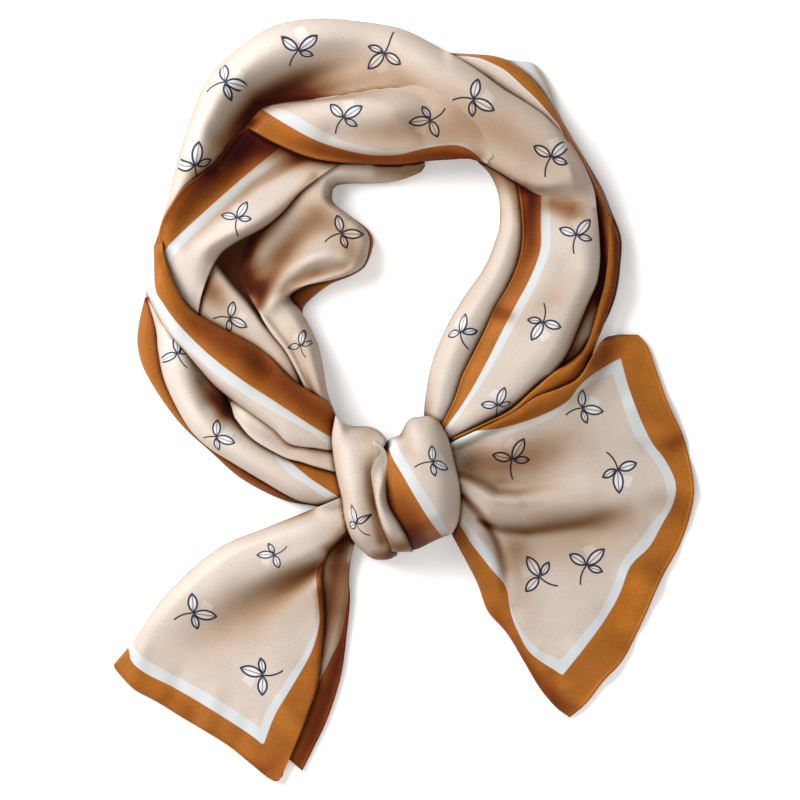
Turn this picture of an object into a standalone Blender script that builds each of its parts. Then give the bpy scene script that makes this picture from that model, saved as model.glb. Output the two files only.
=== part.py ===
"""Ribbon scarf of silk satin, wound once into a ring, half knotted, with two flared tails.

Every stretch of cloth that shows is a thin shell between two rails that lie on its edges, seen from
above. The rails and heights stand in short tables, one row for each section, in millimetres.
The shells are laid on each other from the lowest to the highest, and one rounded solid with a flat
underside fills the hidden layers between them and the surface that the scarf lies on.
"""

import bmesh
import bpy
import numpy as np

MM = 0.001  # one millimetre in metres
WALL = 1.2  # thickness of a shell
GAP = 0.35  # least clearance between two shells
REACH = (-150.0, -200.0, 310, 410)  # corner and size of the height map, in millimetres
CORE_DROP = 1.0  # how far the hidden layers stay under the lowest shell
CORE_FLOOR = 1.0  # least height of the hidden layers

COLOURS = {
    "cream": (0.70, 0.60, 0.51, 1.0),
    "ochre": (0.48, 0.20, 0.045, 1.0),
    "deep": (0.26, 0.10, 0.035, 1.0),
}

# Rows of every table of sections: ax, ay, bx, by are the ends of the section on the two rails, and
# za, zm, zb its height at the first rail, half way and at the second rail.

OUTER_LEFT_EDGE = [
    (-129.5, 56.0, -126.0, 57.0, 3.0, 4.0, 4.0),
    (-133.0, 38.5, -119.0, 37.0, 6.0, 7.0, 5.0),
    (-133.5, 26.0, -118.0, 24.0, 7.0, 8.0, 5.0),
    (-128.5, 11.5, -114.0, 8.0, 7.0, 8.0, 5.0),
    (-113.5, -10.5, -103.0, -11.0, 5.0, 6.0, 5.0),
    (-97.0, -26.0, -91.0, -22.0, 5.0, 6.0, 5.0),
    (-81.5, -39.5, -77.0, -29.0, 6.0, 7.0, 5.0),
    (-61.0, -50.0, -58.0, -40.0, 6.0, 7.0, 6.0),
    (-46.0, -53.0, -45.0, -45.0, 6.0, 7.0, 7.0),
    (-34.0, -55.2, -33.0, -48.0, 6.0, 8.0, 8.0),
]

BACK_RIGHT_OUTER = [
    (50.0, 171.0, 48.0, 165.0, 5.0, 6.0, 5.0),
    (57.0, 170.0, 54.0, 162.0, 5.0, 6.0, 5.0),
    (65.5, 168.5, 60.0, 157.0, 5.0, 7.0, 5.0),
    (72.5, 158.5, 65.0, 150.0, 6.0, 7.0, 5.0),
    (78.0, 143.5, 71.0, 139.0, 6.0, 7.0, 5.0),
    (83.0, 134.0, 76.0, 129.0, 6.0, 7.0, 5.0),
    (92.0, 119.0, 85.0, 115.0, 6.0, 7.0, 5.0),
    (99.0, 107.0, 91.5, 103.0, 6.0, 7.0, 5.0),
    (104.0, 95.0, 96.0, 92.0, 7.0, 8.0, 5.0),
    (109.0, 81.0, 100.0, 80.0, 8.0, 9.0, 6.0),
    (108.5, 67.0, 100.0, 67.0, 8.0, 9.0, 6.0),
    (107.0, 55.5, 98.0, 56.0, 8.0, 9.0, 6.0),
    (104.0, 45.5, 94.0, 46.0, 7.0, 8.0, 6.0),
    (97.0, 31.0, 88.0, 34.0, 6.0, 7.0, 6.0),
]

BACK_RIGHT_INNER = [
    (22.0, 174.0, 20.0, 168.0, 11.0, 12.0, 11.0),
    (41.5, 173.0, 34.0, 162.0, 12.0, 13.0, 11.0),
    (50.0, 171.0, 43.0, 156.0, 12.0, 13.0, 11.0),
    (57.0, 166.5, 50.0, 151.0, 12.0, 13.0, 11.0),
    (66.0, 158.5, 58.0, 146.0, 12.0, 13.0, 11.0),
    (74.5, 146.5, 67.0, 138.0, 12.0, 13.0, 11.0),
    (81.5, 135.0, 74.0, 128.0, 12.0, 13.0, 10.0),
    (88.5, 123.5, 81.0, 117.0, 12.0, 13.0, 10.0),
    (95.0, 111.0, 87.0, 106.0, 12.0, 13.0, 10.0),
    (100.5, 98.0, 91.5, 94.0, 12.0, 13.0, 10.0),
    (104.8, 83.0, 94.5, 81.0, 13.0, 13.0, 10.0),
    (105.0, 70.0, 95.0, 69.0, 13.0, 13.0, 10.0),
    (103.5, 57.0, 93.0, 57.0, 13.0, 13.0, 10.0),
    (98.5, 43.5, 88.0, 45.0, 12.0, 12.0, 10.0),
    (93.0, 31.0, 84.0, 34.0, 11.0, 11.0, 10.0),
]

LOBE_BACK_EDGE = [
    (-34.0, 97.5, -40.0, 91.0, 4.0, 5.0, 3.0),
    (-25.0, 91.0, -31.0, 86.0, 4.0, 5.0, 3.0),
    (-18.5, 86.0, -26.0, 82.0, 4.0, 5.0, 3.0),
    (-15.5, 81.0, -24.0, 79.0, 4.0, 5.0, 3.0),
    (-16.0, 75.5, -24.0, 75.0, 4.0, 5.0, 3.0),
    (-19.5, 67.0, -27.0, 71.0, 4.0, 5.0, 3.0),
    (-27.0, 62.0, -32.0, 68.0, 4.0, 5.0, 3.0),
    (-36.0, 58.5, -42.0, 65.0, 4.0, 5.0, 3.0),
    (-44.0, 53.0, -54.0, 61.0, 4.0, 5.0, 3.0),
    (-50.0, 47.0, -60.0, 52.0, 4.0, 5.0, 3.0),
    (-51.0, 42.0, -58.0, 44.0, 4.0, 5.0, 3.0),
]

BIG_LEFT_FOLD = [
    (-129.4, 53.0, -119.0, 55.0, 12.0, 13.0, 11.0),
    (-124.3, 36.0, -112.0, 44.0, 15.0, 16.0, 12.0),
    (-123.0, 24.0, -103.0, 31.0, 17.0, 18.0, 11.0),
    (-119.5, 8.5, -91.0, 12.0, 18.0, 20.0, 7.0),
    (-109.5, -11.5, -88.0, -1.0, 19.0, 21.0, 6.0),
    (-99.0, -23.0, -82.0, -8.5, 19.0, 21.0, 6.0),
    (-85.0, -32.0, -70.0, -17.0, 19.0, 21.0, 9.0),
    (-72.5, -39.5, -57.0, -25.0, 18.0, 20.0, 11.0),
    (-56.0, -49.0, -46.0, -29.0, 17.0, 19.0, 12.0),
    (-46.0, -52.0, -38.0, -31.5, 16.0, 18.0, 12.0),
    (-27.0, -55.0, -25.0, -34.0, 15.0, 17.0, 12.0),
]

SECOND_LEFT_FOLD = [
    (-84.5, -9.0, -86.0, -4.0, 10.0, 11.0, 9.0),
    (-79.0, -16.0, -80.0, -4.0, 14.0, 16.0, 9.0),
    (-74.0, -20.5, -73.0, -7.0, 15.0, 17.0, 10.0),
    (-66.5, -25.0, -65.0, -11.0, 16.0, 17.0, 10.0),
    (-58.5, -29.0, -57.0, -15.0, 17.0, 17.0, 10.0),
    (-51.0, -31.0, -50.0, -17.0, 18.0, 18.0, 10.0),
    (-43.5, -33.5, -42.0, -19.0, 19.0, 18.0, 11.0),
    (-27.0, -38.0, -26.0, -22.0, 18.0, 17.0, 12.0),
]

INNER_LEFT_PIECE = [
    (-97.0, 72.0, -112.0, 56.0, 9.0, 9.0, 8.0),
    (-84.5, 56.5, -104.0, 38.0, 12.0, 13.0, 9.0),
    (-75.0, 46.0, -91.0, 30.0, 13.0, 14.0, 10.0),
    (-70.0, 39.5, -80.0, 23.0, 14.0, 15.0, 11.0),
    (-62.5, 31.5, -70.0, 15.0, 14.0, 15.0, 11.0),
    (-56.0, 22.0, -61.0, 7.0, 14.0, 15.0, 12.0),
    (-48.5, 6.0, -52.0, -3.0, 14.0, 14.0, 12.0),
    (-36.0, -10.0, -39.0, -14.0, 13.0, 13.0, 12.0),
]

LOBE_PANEL = [
    (10.5, 117.0, 10.0, 126.0, 10.0, 11.0, 11.0),
    (7.0, 113.5, 3.0, 126.0, 10.0, 12.0, 11.0),
    (-8.0, 109.0, -12.0, 125.0, 11.0, 13.0, 11.0),
    (-32.0, 108.0, -38.0, 124.0, 12.0, 14.0, 10.0),
    (-36.0, 103.0, -56.0, 112.0, 13.0, 15.0, 9.0),
    (-34.5, 98.0, -64.0, 102.0, 14.0, 15.0, 8.0),
    (-26.5, 92.0, -71.0, 92.0, 15.0, 14.0, 6.0),
    (-18.5, 84.0, -76.0, 83.0, 15.0, 12.0, 5.0),
    (-17.5, 76.0, -81.0, 70.0, 15.0, 12.0, 4.0),
    (-21.5, 66.0, -82.0, 60.0, 15.0, 12.0, 4.0),
    (-34.5, 60.5, -78.0, 53.0, 12.0, 14.0, 5.0),
    (-47.0, 58.0, -75.0, 48.0, 10.0, 15.0, 7.0),
    (-57.0, 52.0, -72.0, 43.0, 12.0, 16.0, 9.0),
    (-52.0, 45.0, -70.5, 40.0, 14.0, 17.0, 10.0),
    (-46.5, 35.5, -66.0, 33.0, 16.0, 18.0, 10.0),
    (-42.5, 26.0, -59.0, 24.0, 17.0, 19.0, 11.0),
    (-40.0, 14.0, -53.0, 13.0, 17.0, 19.0, 11.0),
    (-38.2, 4.0, -48.0, 3.0, 16.0, 18.0, 11.0),
    (-34.0, -8.0, -41.0, -8.0, 14.0, 15.0, 11.0),
]

INNER_RIGHT_TUBE = [
    (37.0, 119.5, 48.0, 121.0, 10.0, 11.0, 10.0),
    (43.5, 112.5, 57.0, 114.0, 12.0, 13.0, 11.0),
    (47.5, 102.0, 63.0, 102.0, 14.0, 15.0, 11.0),
    (48.0, 89.0, 64.5, 88.0, 16.0, 17.0, 12.0),
    (46.0, 80.5, 63.0, 77.0, 17.0, 18.0, 12.0),
    (40.0, 66.0, 59.0, 62.0, 18.0, 19.0, 12.0),
    (29.0, 50.0, 51.0, 46.0, 18.0, 20.0, 12.0),
    (20.5, 35.0, 43.0, 31.0, 18.0, 20.0, 12.0),
    (14.0, 18.5, 36.0, 17.0, 18.0, 20.0, 12.0),
    (11.0, 3.0, 31.0, 3.0, 17.0, 19.0, 12.0),
    (10.0, -8.0, 26.0, -8.0, 15.0, 17.0, 12.0),
    (11.0, -18.0, 21.0, -18.0, 13.0, 14.0, 12.0),
]

RIGHT_PANEL = [
    (55.0, 116.0, 86.0, 124.0, 14.0, 16.0, 16.0),
    (57.5, 103.0, 94.5, 105.0, 15.0, 18.0, 18.0),
    (58.8, 90.0, 96.5, 93.0, 17.0, 19.0, 19.0),
    (59.0, 80.0, 97.6, 82.0, 18.0, 22.0, 21.0),
    (57.0, 69.0, 98.0, 70.0, 19.0, 24.0, 23.0),
    (52.5, 58.0, 96.5, 59.0, 20.0, 25.0, 24.0),
    (45.5, 46.0, 92.8, 50.0, 20.0, 25.0, 24.0),
    (40.0, 34.0, 87.5, 37.0, 20.0, 25.0, 23.0),
    (34.5, 23.0, 82.0, 24.0, 20.0, 24.0, 22.0),
    (29.0, 12.0, 74.0, 12.0, 20.0, 23.0, 18.0),
    (25.5, 1.5, 62.0, 0.0, 19.0, 22.0, 15.0),
    (20.5, -9.0, 44.0, -12.0, 18.0, 20.0, 14.0),
    (16.0, -17.0, 24.0, -22.0, 16.0, 17.0, 14.0),
]

MAIN_LOOP = [
    (-129.6, 51.0, -120.0, 54.0, 11.0, 13.0, 10.0),
    (-128.8, 62.0, -118.0, 64.0, 12.0, 14.0, 10.0),
    (-126.7, 71.0, -117.0, 74.0, 15.0, 15.0, 10.0),
    (-122.5, 85.0, -112.0, 87.0, 20.0, 18.0, 10.0),
    (-118.5, 99.5, -105.0, 97.0, 23.0, 21.0, 10.0),
    (-114.0, 118.5, -94.0, 106.0, 26.0, 23.0, 10.0),
    (-110.0, 133.0, -84.0, 118.0, 28.0, 25.0, 10.0),
    (-105.0, 146.5, -76.0, 127.0, 29.0, 25.0, 9.0),
    (-98.5, 161.5, -68.0, 134.0, 29.0, 24.0, 9.0),
    (-85.0, 175.0, -58.0, 138.0, 29.0, 22.0, 9.0),
    (-66.0, 187.5, -48.0, 139.0, 28.0, 21.0, 10.0),
    (-44.0, 191.5, -34.0, 139.0, 27.0, 20.0, 12.0),
    (-22.0, 190.0, -18.0, 138.0, 26.0, 19.0, 16.0),
    (-2.0, 186.5, 0.0, 135.0, 26.0, 22.0, 18.0),
    (13.0, 179.5, 14.0, 128.0, 27.0, 25.0, 19.0),
    (24.0, 173.0, 27.0, 122.5, 27.0, 27.0, 20.0),
    (37.5, 164.5, 36.0, 120.5, 28.0, 28.0, 21.0),
    (50.0, 155.5, 44.0, 116.0, 28.0, 28.0, 22.0),
    (63.0, 147.5, 53.0, 110.5, 28.0, 28.0, 23.0),
    (75.5, 138.0, 61.0, 105.5, 28.0, 28.0, 23.0),
    (83.5, 128.0, 68.0, 101.5, 28.0, 28.0, 22.0),
    (90.0, 117.0, 75.0, 98.0, 28.0, 27.0, 22.0),
    (95.0, 104.5, 82.0, 93.5, 27.0, 26.0, 22.0),
    (98.0, 94.0, 88.0, 88.0, 26.0, 25.0, 22.0),
]

DARK_BAND_ROLL = [
    (-68.0, 139.0, -22.0, 124.0, 13.0, 12.0, 12.0),
    (-81.0, 134.5, -35.5, 116.0, 14.0, 14.0, 15.0),
    (-94.5, 117.5, -51.0, 104.5, 14.0, 16.0, 18.0),
    (-109.0, 106.5, -60.5, 94.0, 15.0, 18.0, 20.0),
    (-116.5, 96.5, -70.5, 86.0, 16.0, 20.0, 22.0),
    (-121.5, 87.0, -83.0, 79.5, 17.0, 21.0, 22.0),
    (-122.5, 79.5, -91.0, 74.0, 17.0, 21.0, 21.0),
    (-121.0, 72.0, -96.0, 66.0, 16.0, 19.0, 18.0),
    (-115.0, 58.0, -101.0, 53.0, 12.0, 14.0, 13.0),
    (-107.0, 44.0, -103.0, 43.0, 10.0, 11.0, 11.0),
]

TOP_FOLD = [
    (-70.0, 147.0, -79.0, 136.5, 20.0, 21.0, 19.0),
    (-60.0, 149.0, -66.0, 129.0, 22.0, 25.0, 20.0),
    (-46.0, 150.5, -48.5, 121.5, 23.0, 28.0, 21.0),
    (-30.0, 153.0, -32.5, 118.5, 24.0, 30.0, 22.0),
    (-14.0, 157.0, -14.0, 117.5, 24.0, 31.0, 22.0),
    (2.0, 159.0, -1.0, 117.5, 26.0, 31.0, 22.0),
    (16.0, 158.0, 11.0, 119.0, 28.0, 30.0, 22.0),
    (30.0, 150.0, 23.0, 119.8, 29.5, 29.0, 22.0),
    (40.0, 138.0, 32.0, 120.2, 30.0, 28.0, 22.0),
    (42.0, 126.0, 38.0, 119.5, 28.0, 26.0, 23.0),
]

LEFT_MAIN_BAND = [
    (-120.0, 76.0, -126.4, 72.5, 20.0, 19.0, 13.0),
    (-118.5, 69.0, -128.3, 64.0, 20.0, 20.0, 13.0),
    (-115.0, 59.5, -129.0, 55.5, 20.0, 22.0, 14.0),
    (-109.5, 49.0, -122.0, 41.0, 20.0, 23.0, 19.0),
    (-103.5, 43.0, -116.0, 32.0, 20.0, 24.0, 22.0),
    (-96.0, 38.5, -109.0, 24.0, 20.0, 24.0, 22.0),
    (-84.5, 32.5, -97.0, 9.5, 20.0, 25.0, 23.0),
    (-73.0, 26.0, -88.0, 1.5, 20.0, 26.0, 23.0),
    (-65.5, 20.0, -79.5, -4.5, 20.0, 26.0, 23.0),
    (-56.0, 10.5, -65.5, -14.5, 21.0, 26.0, 23.0),
    (-46.5, 4.0, -57.0, -22.0, 21.0, 25.0, 22.0),
    (-38.5, -1.0, -44.0, -24.0, 21.0, 24.0, 21.0),
    (-27.0, -11.0, -28.0, -25.0, 18.0, 20.0, 18.0),
]

RIGHT_OVER_FOLD = [
    (102.5, 82.0, 107.5, 81.0, 14.0, 14.0, 13.0),
    (101.8, 70.0, 107.2, 69.0, 14.0, 14.0, 13.0),
    (100.2, 58.0, 105.6, 56.0, 14.0, 14.0, 13.0),
    (97.3, 47.0, 102.5, 45.5, 14.0, 14.0, 12.0),
    (94.5, 37.0, 99.0, 35.0, 14.0, 14.0, 11.0),
    (91.0, 27.5, 95.2, 25.5, 14.0, 13.0, 10.0),
    (85.5, 21.0, 90.5, 10.0, 18.0, 16.0, 10.0),
    (74.5, 13.5, 81.0, -1.0, 19.0, 17.0, 11.0),
    (64.0, 4.5, 68.0, -7.0, 19.0, 17.0, 11.0),
    (53.0, -5.0, 55.0, -12.0, 19.0, 17.0, 12.0),
    (42.0, -10.8, 43.0, -16.0, 18.0, 17.0, 13.0),
    (24.0, -19.0, 24.0, -24.0, 16.0, 15.0, 13.0),
]

LEFT_TAIL_BACK = [
    (-22.0, -66.0, -30.0, -66.0, 8.0, 8.0, 7.0),
    (-25.0, -73.0, -35.0, -72.0, 7.0, 7.0, 6.0),
    (-26.8, -81.0, -42.0, -79.0, 6.0, 6.0, 5.0),
    (-27.5, -90.0, -50.0, -88.0, 5.0, 5.0, 3.0),
    (-27.0, -100.0, -56.0, -98.0, 4.0, 4.0, 2.0),
    (-28.5, -116.0, -64.0, -112.0, 3.0, 3.5, 2.0),
    (-31.5, -138.0, -74.0, -128.0, 2.4, 3.0, 2.0),
    (-38.0, -159.0, -82.0, -140.0, 2.0, 2.6, 2.0),
    (-45.0, -174.0, -86.0, -148.0, 1.8, 2.2, 2.0),
    (-51.0, -186.0, -86.0, -156.0, 1.8, 2.0, 2.0),
]

LEFT_TAIL_FRONT = [
    (-25.0, -46.0, -20.0, -60.0, 14.0, 15.0, 14.0),
    (-45.5, -54.5, -33.5, -71.5, 14.0, 15.0, 11.0),
    (-58.0, -59.5, -38.5, -78.0, 15.0, 15.0, 10.0),
    (-73.0, -65.5, -41.0, -86.5, 16.0, 13.0, 10.0),
    (-88.0, -71.5, -40.3, -99.5, 16.0, 10.0, 9.0),
    (-101.5, -80.5, -40.0, -113.0, 14.0, 8.5, 8.0),
    (-113.5, -91.5, -41.5, -129.0, 12.0, 8.0, 7.5),
    (-122.5, -101.5, -43.5, -144.0, 10.0, 7.0, 7.0),
    (-130.5, -113.0, -47.5, -155.5, 7.5, 6.0, 6.0),
    (-137.5, -123.0, -52.0, -167.5, 4.5, 4.5, 5.0),
    (-145.5, -132.5, -60.0, -185.5, 2.2, 2.4, 3.8),
]
LEFT_TAIL_HEM = [
    (-145.5, -132.5), (-144.5, -135.5), (-135.5, -145.0), (-125.5, -150.5), (-112.5, -158.5),
    (-100.5, -165.5), (-88.0, -173.5), (-78.0, -181.5), (-68.0, -189.5), (-63.0, -191.0), (-60.0, -185.5),
]

RIGHT_TAIL = [
    (21.5, -22.5, 20.0, -60.0, 16.0, 18.0, 12.0),
    (26.0, -20.0, 24.5, -68.5, 17.0, 19.0, 10.0),
    (42.0, -12.5, 31.5, -81.5, 17.0, 18.0, 8.0),
    (55.0, -6.0, 37.0, -92.5, 18.0, 16.0, 6.0),
    (66.0, 1.5, 42.0, -106.0, 18.0, 13.5, 4.5),
    (78.0, 6.0, 51.5, -117.0, 15.0, 11.5, 3.5),
    (88.0, 12.0, 60.0, -131.0, 11.0, 9.5, 2.8),
    (98.5, 29.0, 68.0, -144.5, 7.0, 7.5, 2.4),
    (106.0, 32.6, 76.0, -154.0, 4.5, 5.0, 2.2),
    (117.5, 32.8, 83.0, -159.3, 2.2, 2.4, 2.2),
]
RIGHT_TAIL_HEM = [
    (117.5, 32.8), (122.5, 26.5), (127.0, 14.0), (132.5, -1.5), (139.5, -16.5), (143.5, -30.5),
    (145.5, -45.0), (143.5, -58.0), (138.5, -72.5), (130.5, -87.0), (125.5, -97.5), (120.0, -110.5),
    (110.0, -130.0), (100.5, -140.5), (91.5, -152.0), (83.0, -159.3),
]

KNOT_RIGHT_LOBE = [
    (-7.0, -19.8, 17.5, -10.5, 29.0, 33.0, 30.0),
    (-9.0, -27.0, 22.0, -19.0, 32.0, 38.0, 33.0),
    (-11.0, -36.0, 25.0, -30.0, 33.0, 40.0, 34.0),
    (-11.0, -46.0, 27.5, -42.0, 33.0, 41.0, 35.0),
    (-9.0, -56.0, 28.2, -52.0, 32.0, 39.0, 34.0),
    (-5.0, -66.0, 27.0, -61.0, 29.0, 35.0, 31.0),
    (0.0, -76.0, 24.0, -67.0, 24.0, 27.0, 25.0),
]
KNOT_RIGHT_TOP = [
    (-7.0, -19.8), (-2.0, -17.5), (0.0, -13.5), (3.0, -9.3), (8.0, -8.3), (13.5, -8.0), (17.5, -10.5),
]
KNOT_RIGHT_FOOT = [(0.0, -76.0), (6.0, -75.0), (10.5, -73.0), (17.0, -69.8), (24.0, -67.0)]

KNOT_LEFT_LOBE = [
    (-34.2, -7.5, -8.5, -19.5, 26.0, 32.0, 30.0),
    (-36.0, -18.0, -11.0, -26.0, 30.0, 38.0, 32.0),
    (-35.3, -28.5, -13.0, -34.0, 33.0, 40.0, 32.0),
    (-33.5, -39.0, -12.5, -43.0, 34.0, 41.0, 32.0),
    (-31.0, -49.5, -11.0, -52.0, 34.0, 40.0, 31.0),
    (-29.5, -60.0, -7.0, -62.0, 32.0, 38.0, 30.0),
    (-25.5, -70.5, -3.0, -71.0, 28.0, 33.0, 27.0),
    (-18.0, -78.3, -3.5, -78.0, 22.0, 24.0, 22.0),
]
KNOT_LEFT_TOP = [
    (-34.2, -7.5), (-30.5, -11.0), (-25.5, -13.0), (-18.5, -13.2), (-13.0, -15.0), (-8.5, -19.5),
]
KNOT_LEFT_FOOT = [(-18.0, -78.3), (-14.5, -79.9), (-8.0, -80.0), (-3.5, -78.0)]

KNOT_NARROW_FOLD = [
    (-14.0, -18.5, -8.0, -20.5, 33.0, 34.0, 32.0),
    (-16.3, -27.0, -7.0, -27.0, 36.0, 40.0, 37.0),
    (-16.5, -36.0, -8.2, -36.0, 37.0, 42.0, 38.0),
    (-15.5, -45.0, -8.7, -45.0, 37.0, 42.0, 38.0),
    (-13.8, -54.0, -7.3, -53.0, 36.0, 41.0, 37.0),
    (-11.3, -62.5, -1.5, -62.5, 33.0, 37.0, 34.0),
    (-8.0, -70.0, 2.5, -70.5, 29.0, 31.0, 29.0),
    (-6.0, -75.5, 4.5, -76.0, 21.0, 22.0, 21.0),
]

# Soft ridges and troughs: rows x, y, height (below zero for a trough) and half width.
POCKET = [(-2, 178, -1, 12), (-28, 168, -7, 12), (-52, 158, -15, 10), (-72, 151, -15, 9), (-90, 134, -9, 9)]
TOP_RIDGE = [(-60, 143, 1, 9), (-30, 148, 2, 10), (5, 146, 2, 12), (30, 135, 1, 12)]
TOP_HOLLOW = [(-35, 132, -3, 7), (-5, 131, -4, 9), (15, 134, -3, 10), (40, 132, -1, 10)]
RIGHT_POCKET = [(72, 97, -4, 6), (80, 94, -6, 8), (92, 88, -1, 9)]
RIGHT_HOLLOW = [(82, 66, -2, 7), (74, 52, -1, 7), (63, 38, -1, 7)]
LOBE_TROUGH = [(-50, 83, -2, 8), (-60, 70, -6, 9), (-74, 56, -3, 7)]
LOBE_ARC = [(-66, 50, 4, 6), (-58, 64, 4, 6), (-44, 71, 5, 6), (-31, 72, 5, 6), (-23, 68, 3, 6)]
BAND_DIP = [(-72, 34, -4, 8), (-68, 10, -4, 7), (-60, 0, -1, 7)]
BAND_SWELL = [(-88, 24, 2, 10), (-48, -6, 1, 9)]
LEFT_GUTTER = [(-106, 26, -6, 5), (-100, 10, -7, 5), (-97, 0, -4, 5)]
TAIL_FOLD = [(-30, -62, 3, 7), (-60, -68, 4, 9), (-90, -80, 4, 11), (-118, -104, 2, 12)]
TAIL_TROUGH = [(-42, -82, -5, 6), (-58, -87, -5, 7), (-80, -98, -5, 9), (-100, -112, -2, 12)]
TAIL_RISE = [(-44, -90, 2, 6), (-60, -108, 2, 14), (-66, -135, 2, 16)]
RIGHT_ROLL = [(26, -42, 5, 5), (43, -55, 7, 7), (60, -57, 7, 8), (85, -54, 5, 9), (118, -50, 2, 9)]
RIGHT_GROOVE = [(34, -33, -6, 7), (50, -40, -5, 9), (75, -30, -3, 12)]
RIGHT_UNDER = [(42, -68, -4, 5), (60, -70, -4, 7), (90, -66, -3, 8), (120, -60, -2, 8)]
SECOND_ROLL = [(27, -55, 3, 4), (38, -68, 4, 5), (46, -84, 3, 6), (52, -100, 1, 7)]
KNOT_CREASE = [(0, -12, -2, 3), (2, -22, -3, 4), (3, -30, -1, 4)]
KNOT_LEFT_SOFT = [(-20, -20, -2, 5), (-22, -34, -1, 5)]

# One row for each shell, from the lowest to the highest: name, table of sections, steps along and
# across, rounding radius of its edges (first, second, start, end), end curves, creases and colour.
SHELLS = [
    ("outer_left_edge", OUTER_LEFT_EDGE, 20, 2, (4, 0, 0, 0), (None, None), (), "ochre"),
    ("back_right_outer", BACK_RIGHT_OUTER, 24, 2, (5, 0, 0, 0), (None, None), (), "ochre"),
    ("back_right_inner", BACK_RIGHT_INNER, 24, 2, (4, 0, 0, 0), (None, None), (), "ochre"),
    ("lobe_back_edge", LOBE_BACK_EDGE, 14, 2, (3, 0, 0, 0), (None, None), (), "ochre"),
    ("big_left_fold", BIG_LEFT_FOLD, 22, 6, (9, 0, 0, 0), (None, None), (LEFT_GUTTER,), "cream"),
    ("second_left_fold", SECOND_LEFT_FOLD, 11, 3, (4, 0, 0, 0), (None, None), (), "cream"),
    ("inner_left_piece", INNER_LEFT_PIECE, 14, 3, (3, 0, 0, 0), (None, None), (), "cream"),
    ("lobe_panel", LOBE_PANEL, 34, 7, (6, 0, 0, 0), (None, None), (LOBE_TROUGH, LOBE_ARC), "cream"),
    ("inner_right_tube", INNER_RIGHT_TUBE, 20, 5, (11, 0, 0, 0), (None, None), (), "cream"),
    ("right_panel", RIGHT_PANEL, 22, 7, (0, 10, 0, 0), (None, None), (RIGHT_HOLLOW,), "cream"),
    ("main_loop", MAIN_LOOP, 42, 8, (14, 0, 0, 0), (None, None), (POCKET, RIGHT_POCKET), "cream"),
    ("dark_band_roll", DARK_BAND_ROLL, 18, 6, (0, 9, 0, 0), (None, None), (), "ochre"),
    ("top_fold", TOP_FOLD, 18, 5, (5, 0, 0, 0), (None, None), (TOP_RIDGE, TOP_HOLLOW), "cream"),
    ("left_main_band", LEFT_MAIN_BAND, 24, 4, (2, 5, 0, 0), (None, None), (BAND_DIP, BAND_SWELL), "ochre"),
    ("right_over_fold", RIGHT_OVER_FOLD, 20, 2, (2, 0, 0, 0), (None, None), (), "ochre"),
    ("left_tail_back", LEFT_TAIL_BACK, 14, 3, (0, 0, 0, 0), (None, None), (), "ochre"),
    ("left_tail_front", LEFT_TAIL_FRONT, 18, 9, (8, 2, 0, 0), (None, LEFT_TAIL_HEM),
     (TAIL_FOLD, TAIL_TROUGH, TAIL_RISE), "cream"),
    ("right_tail", RIGHT_TAIL, 18, 14, (2, 2, 0, 0), (None, RIGHT_TAIL_HEM),
     (RIGHT_ROLL, RIGHT_GROOVE, RIGHT_UNDER, SECOND_ROLL), "cream"),
    ("knot_right_lobe", KNOT_RIGHT_LOBE, 12, 8, (0, 12, 14, 14), (KNOT_RIGHT_TOP, KNOT_RIGHT_FOOT),
     (KNOT_CREASE,), "cream"),
    ("knot_left_lobe", KNOT_LEFT_LOBE, 13, 6, (12, 0, 14, 15), (KNOT_LEFT_TOP, KNOT_LEFT_FOOT),
     (KNOT_LEFT_SOFT,), "cream"),
    ("knot_narrow_fold", KNOT_NARROW_FOLD, 12, 4, (3, 3, 6, 12), (None, None), (), "cream"),
]
EDGE_HEIGHT = 1.6  # least height of a rounded edge's rim
EDGE_DROP = 2.1  # a rounded edge comes down at most this many times its radius
ROUND_SHARE = 0.4  # greatest share of a shell's width that one edge rounds

# Rows of the hidden layers: inner and outer edge of the section (ix, iy, ox, oy) and greatest height.
HIDDEN_LAYERS = [
    (-20.0, -22.0, -18.0, -70.0, 26.0),
    (-28.0, -19.0, -27.0, -46.0, 16.0),
    (-35.0, -13.0, -42.0, -40.0, 13.0),
    (-42.0, -2.0, -60.0, -37.0, 14.0),
    (-48.0, 14.0, -83.0, -24.0, 12.0),
    (-54.0, 26.0, -101.0, -3.0, 10.0),
    (-62.0, 36.0, -121.0, 16.0, 8.0),
    (-68.0, 46.0, -123.0, 44.0, 6.0),
    (-64.0, 62.0, -119.0, 68.0, 5.0),
    (-54.0, 80.0, -115.0, 92.0, 6.0),
    (-50.0, 96.0, -106.0, 120.0, 8.0),
    (-44.0, 108.0, -96.0, 147.0, 8.0),
    (-34.0, 116.0, -74.0, 173.0, 8.0),
    (-18.0, 119.0, -40.0, 183.0, 9.0),
    (2.0, 127.0, 0.0, 171.0, 11.0),
    (23.0, 128.0, 25.0, 160.0, 11.0),
    (42.0, 125.0, 48.0, 144.0, 10.0),
    (54.0, 113.0, 67.0, 126.0, 9.0),
    (60.0, 99.0, 79.0, 105.0, 10.0),
    (58.0, 84.0, 91.0, 84.0, 12.0),
    (52.0, 68.0, 91.0, 62.0, 12.0),
    (41.0, 50.0, 84.0, 42.0, 12.0),
    (28.0, 28.0, 68.0, 24.0, 12.0),
    (20.0, 6.0, 50.0, 3.0, 13.0),
    (22.0, -12.0, 40.0, -20.0, 13.0),
    (11.0, -26.0, 14.0, -54.0, 24.0),
    (-6.0, -30.0, -2.0, -68.0, 27.0),
]
HIDDEN_STEPS = 60
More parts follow.
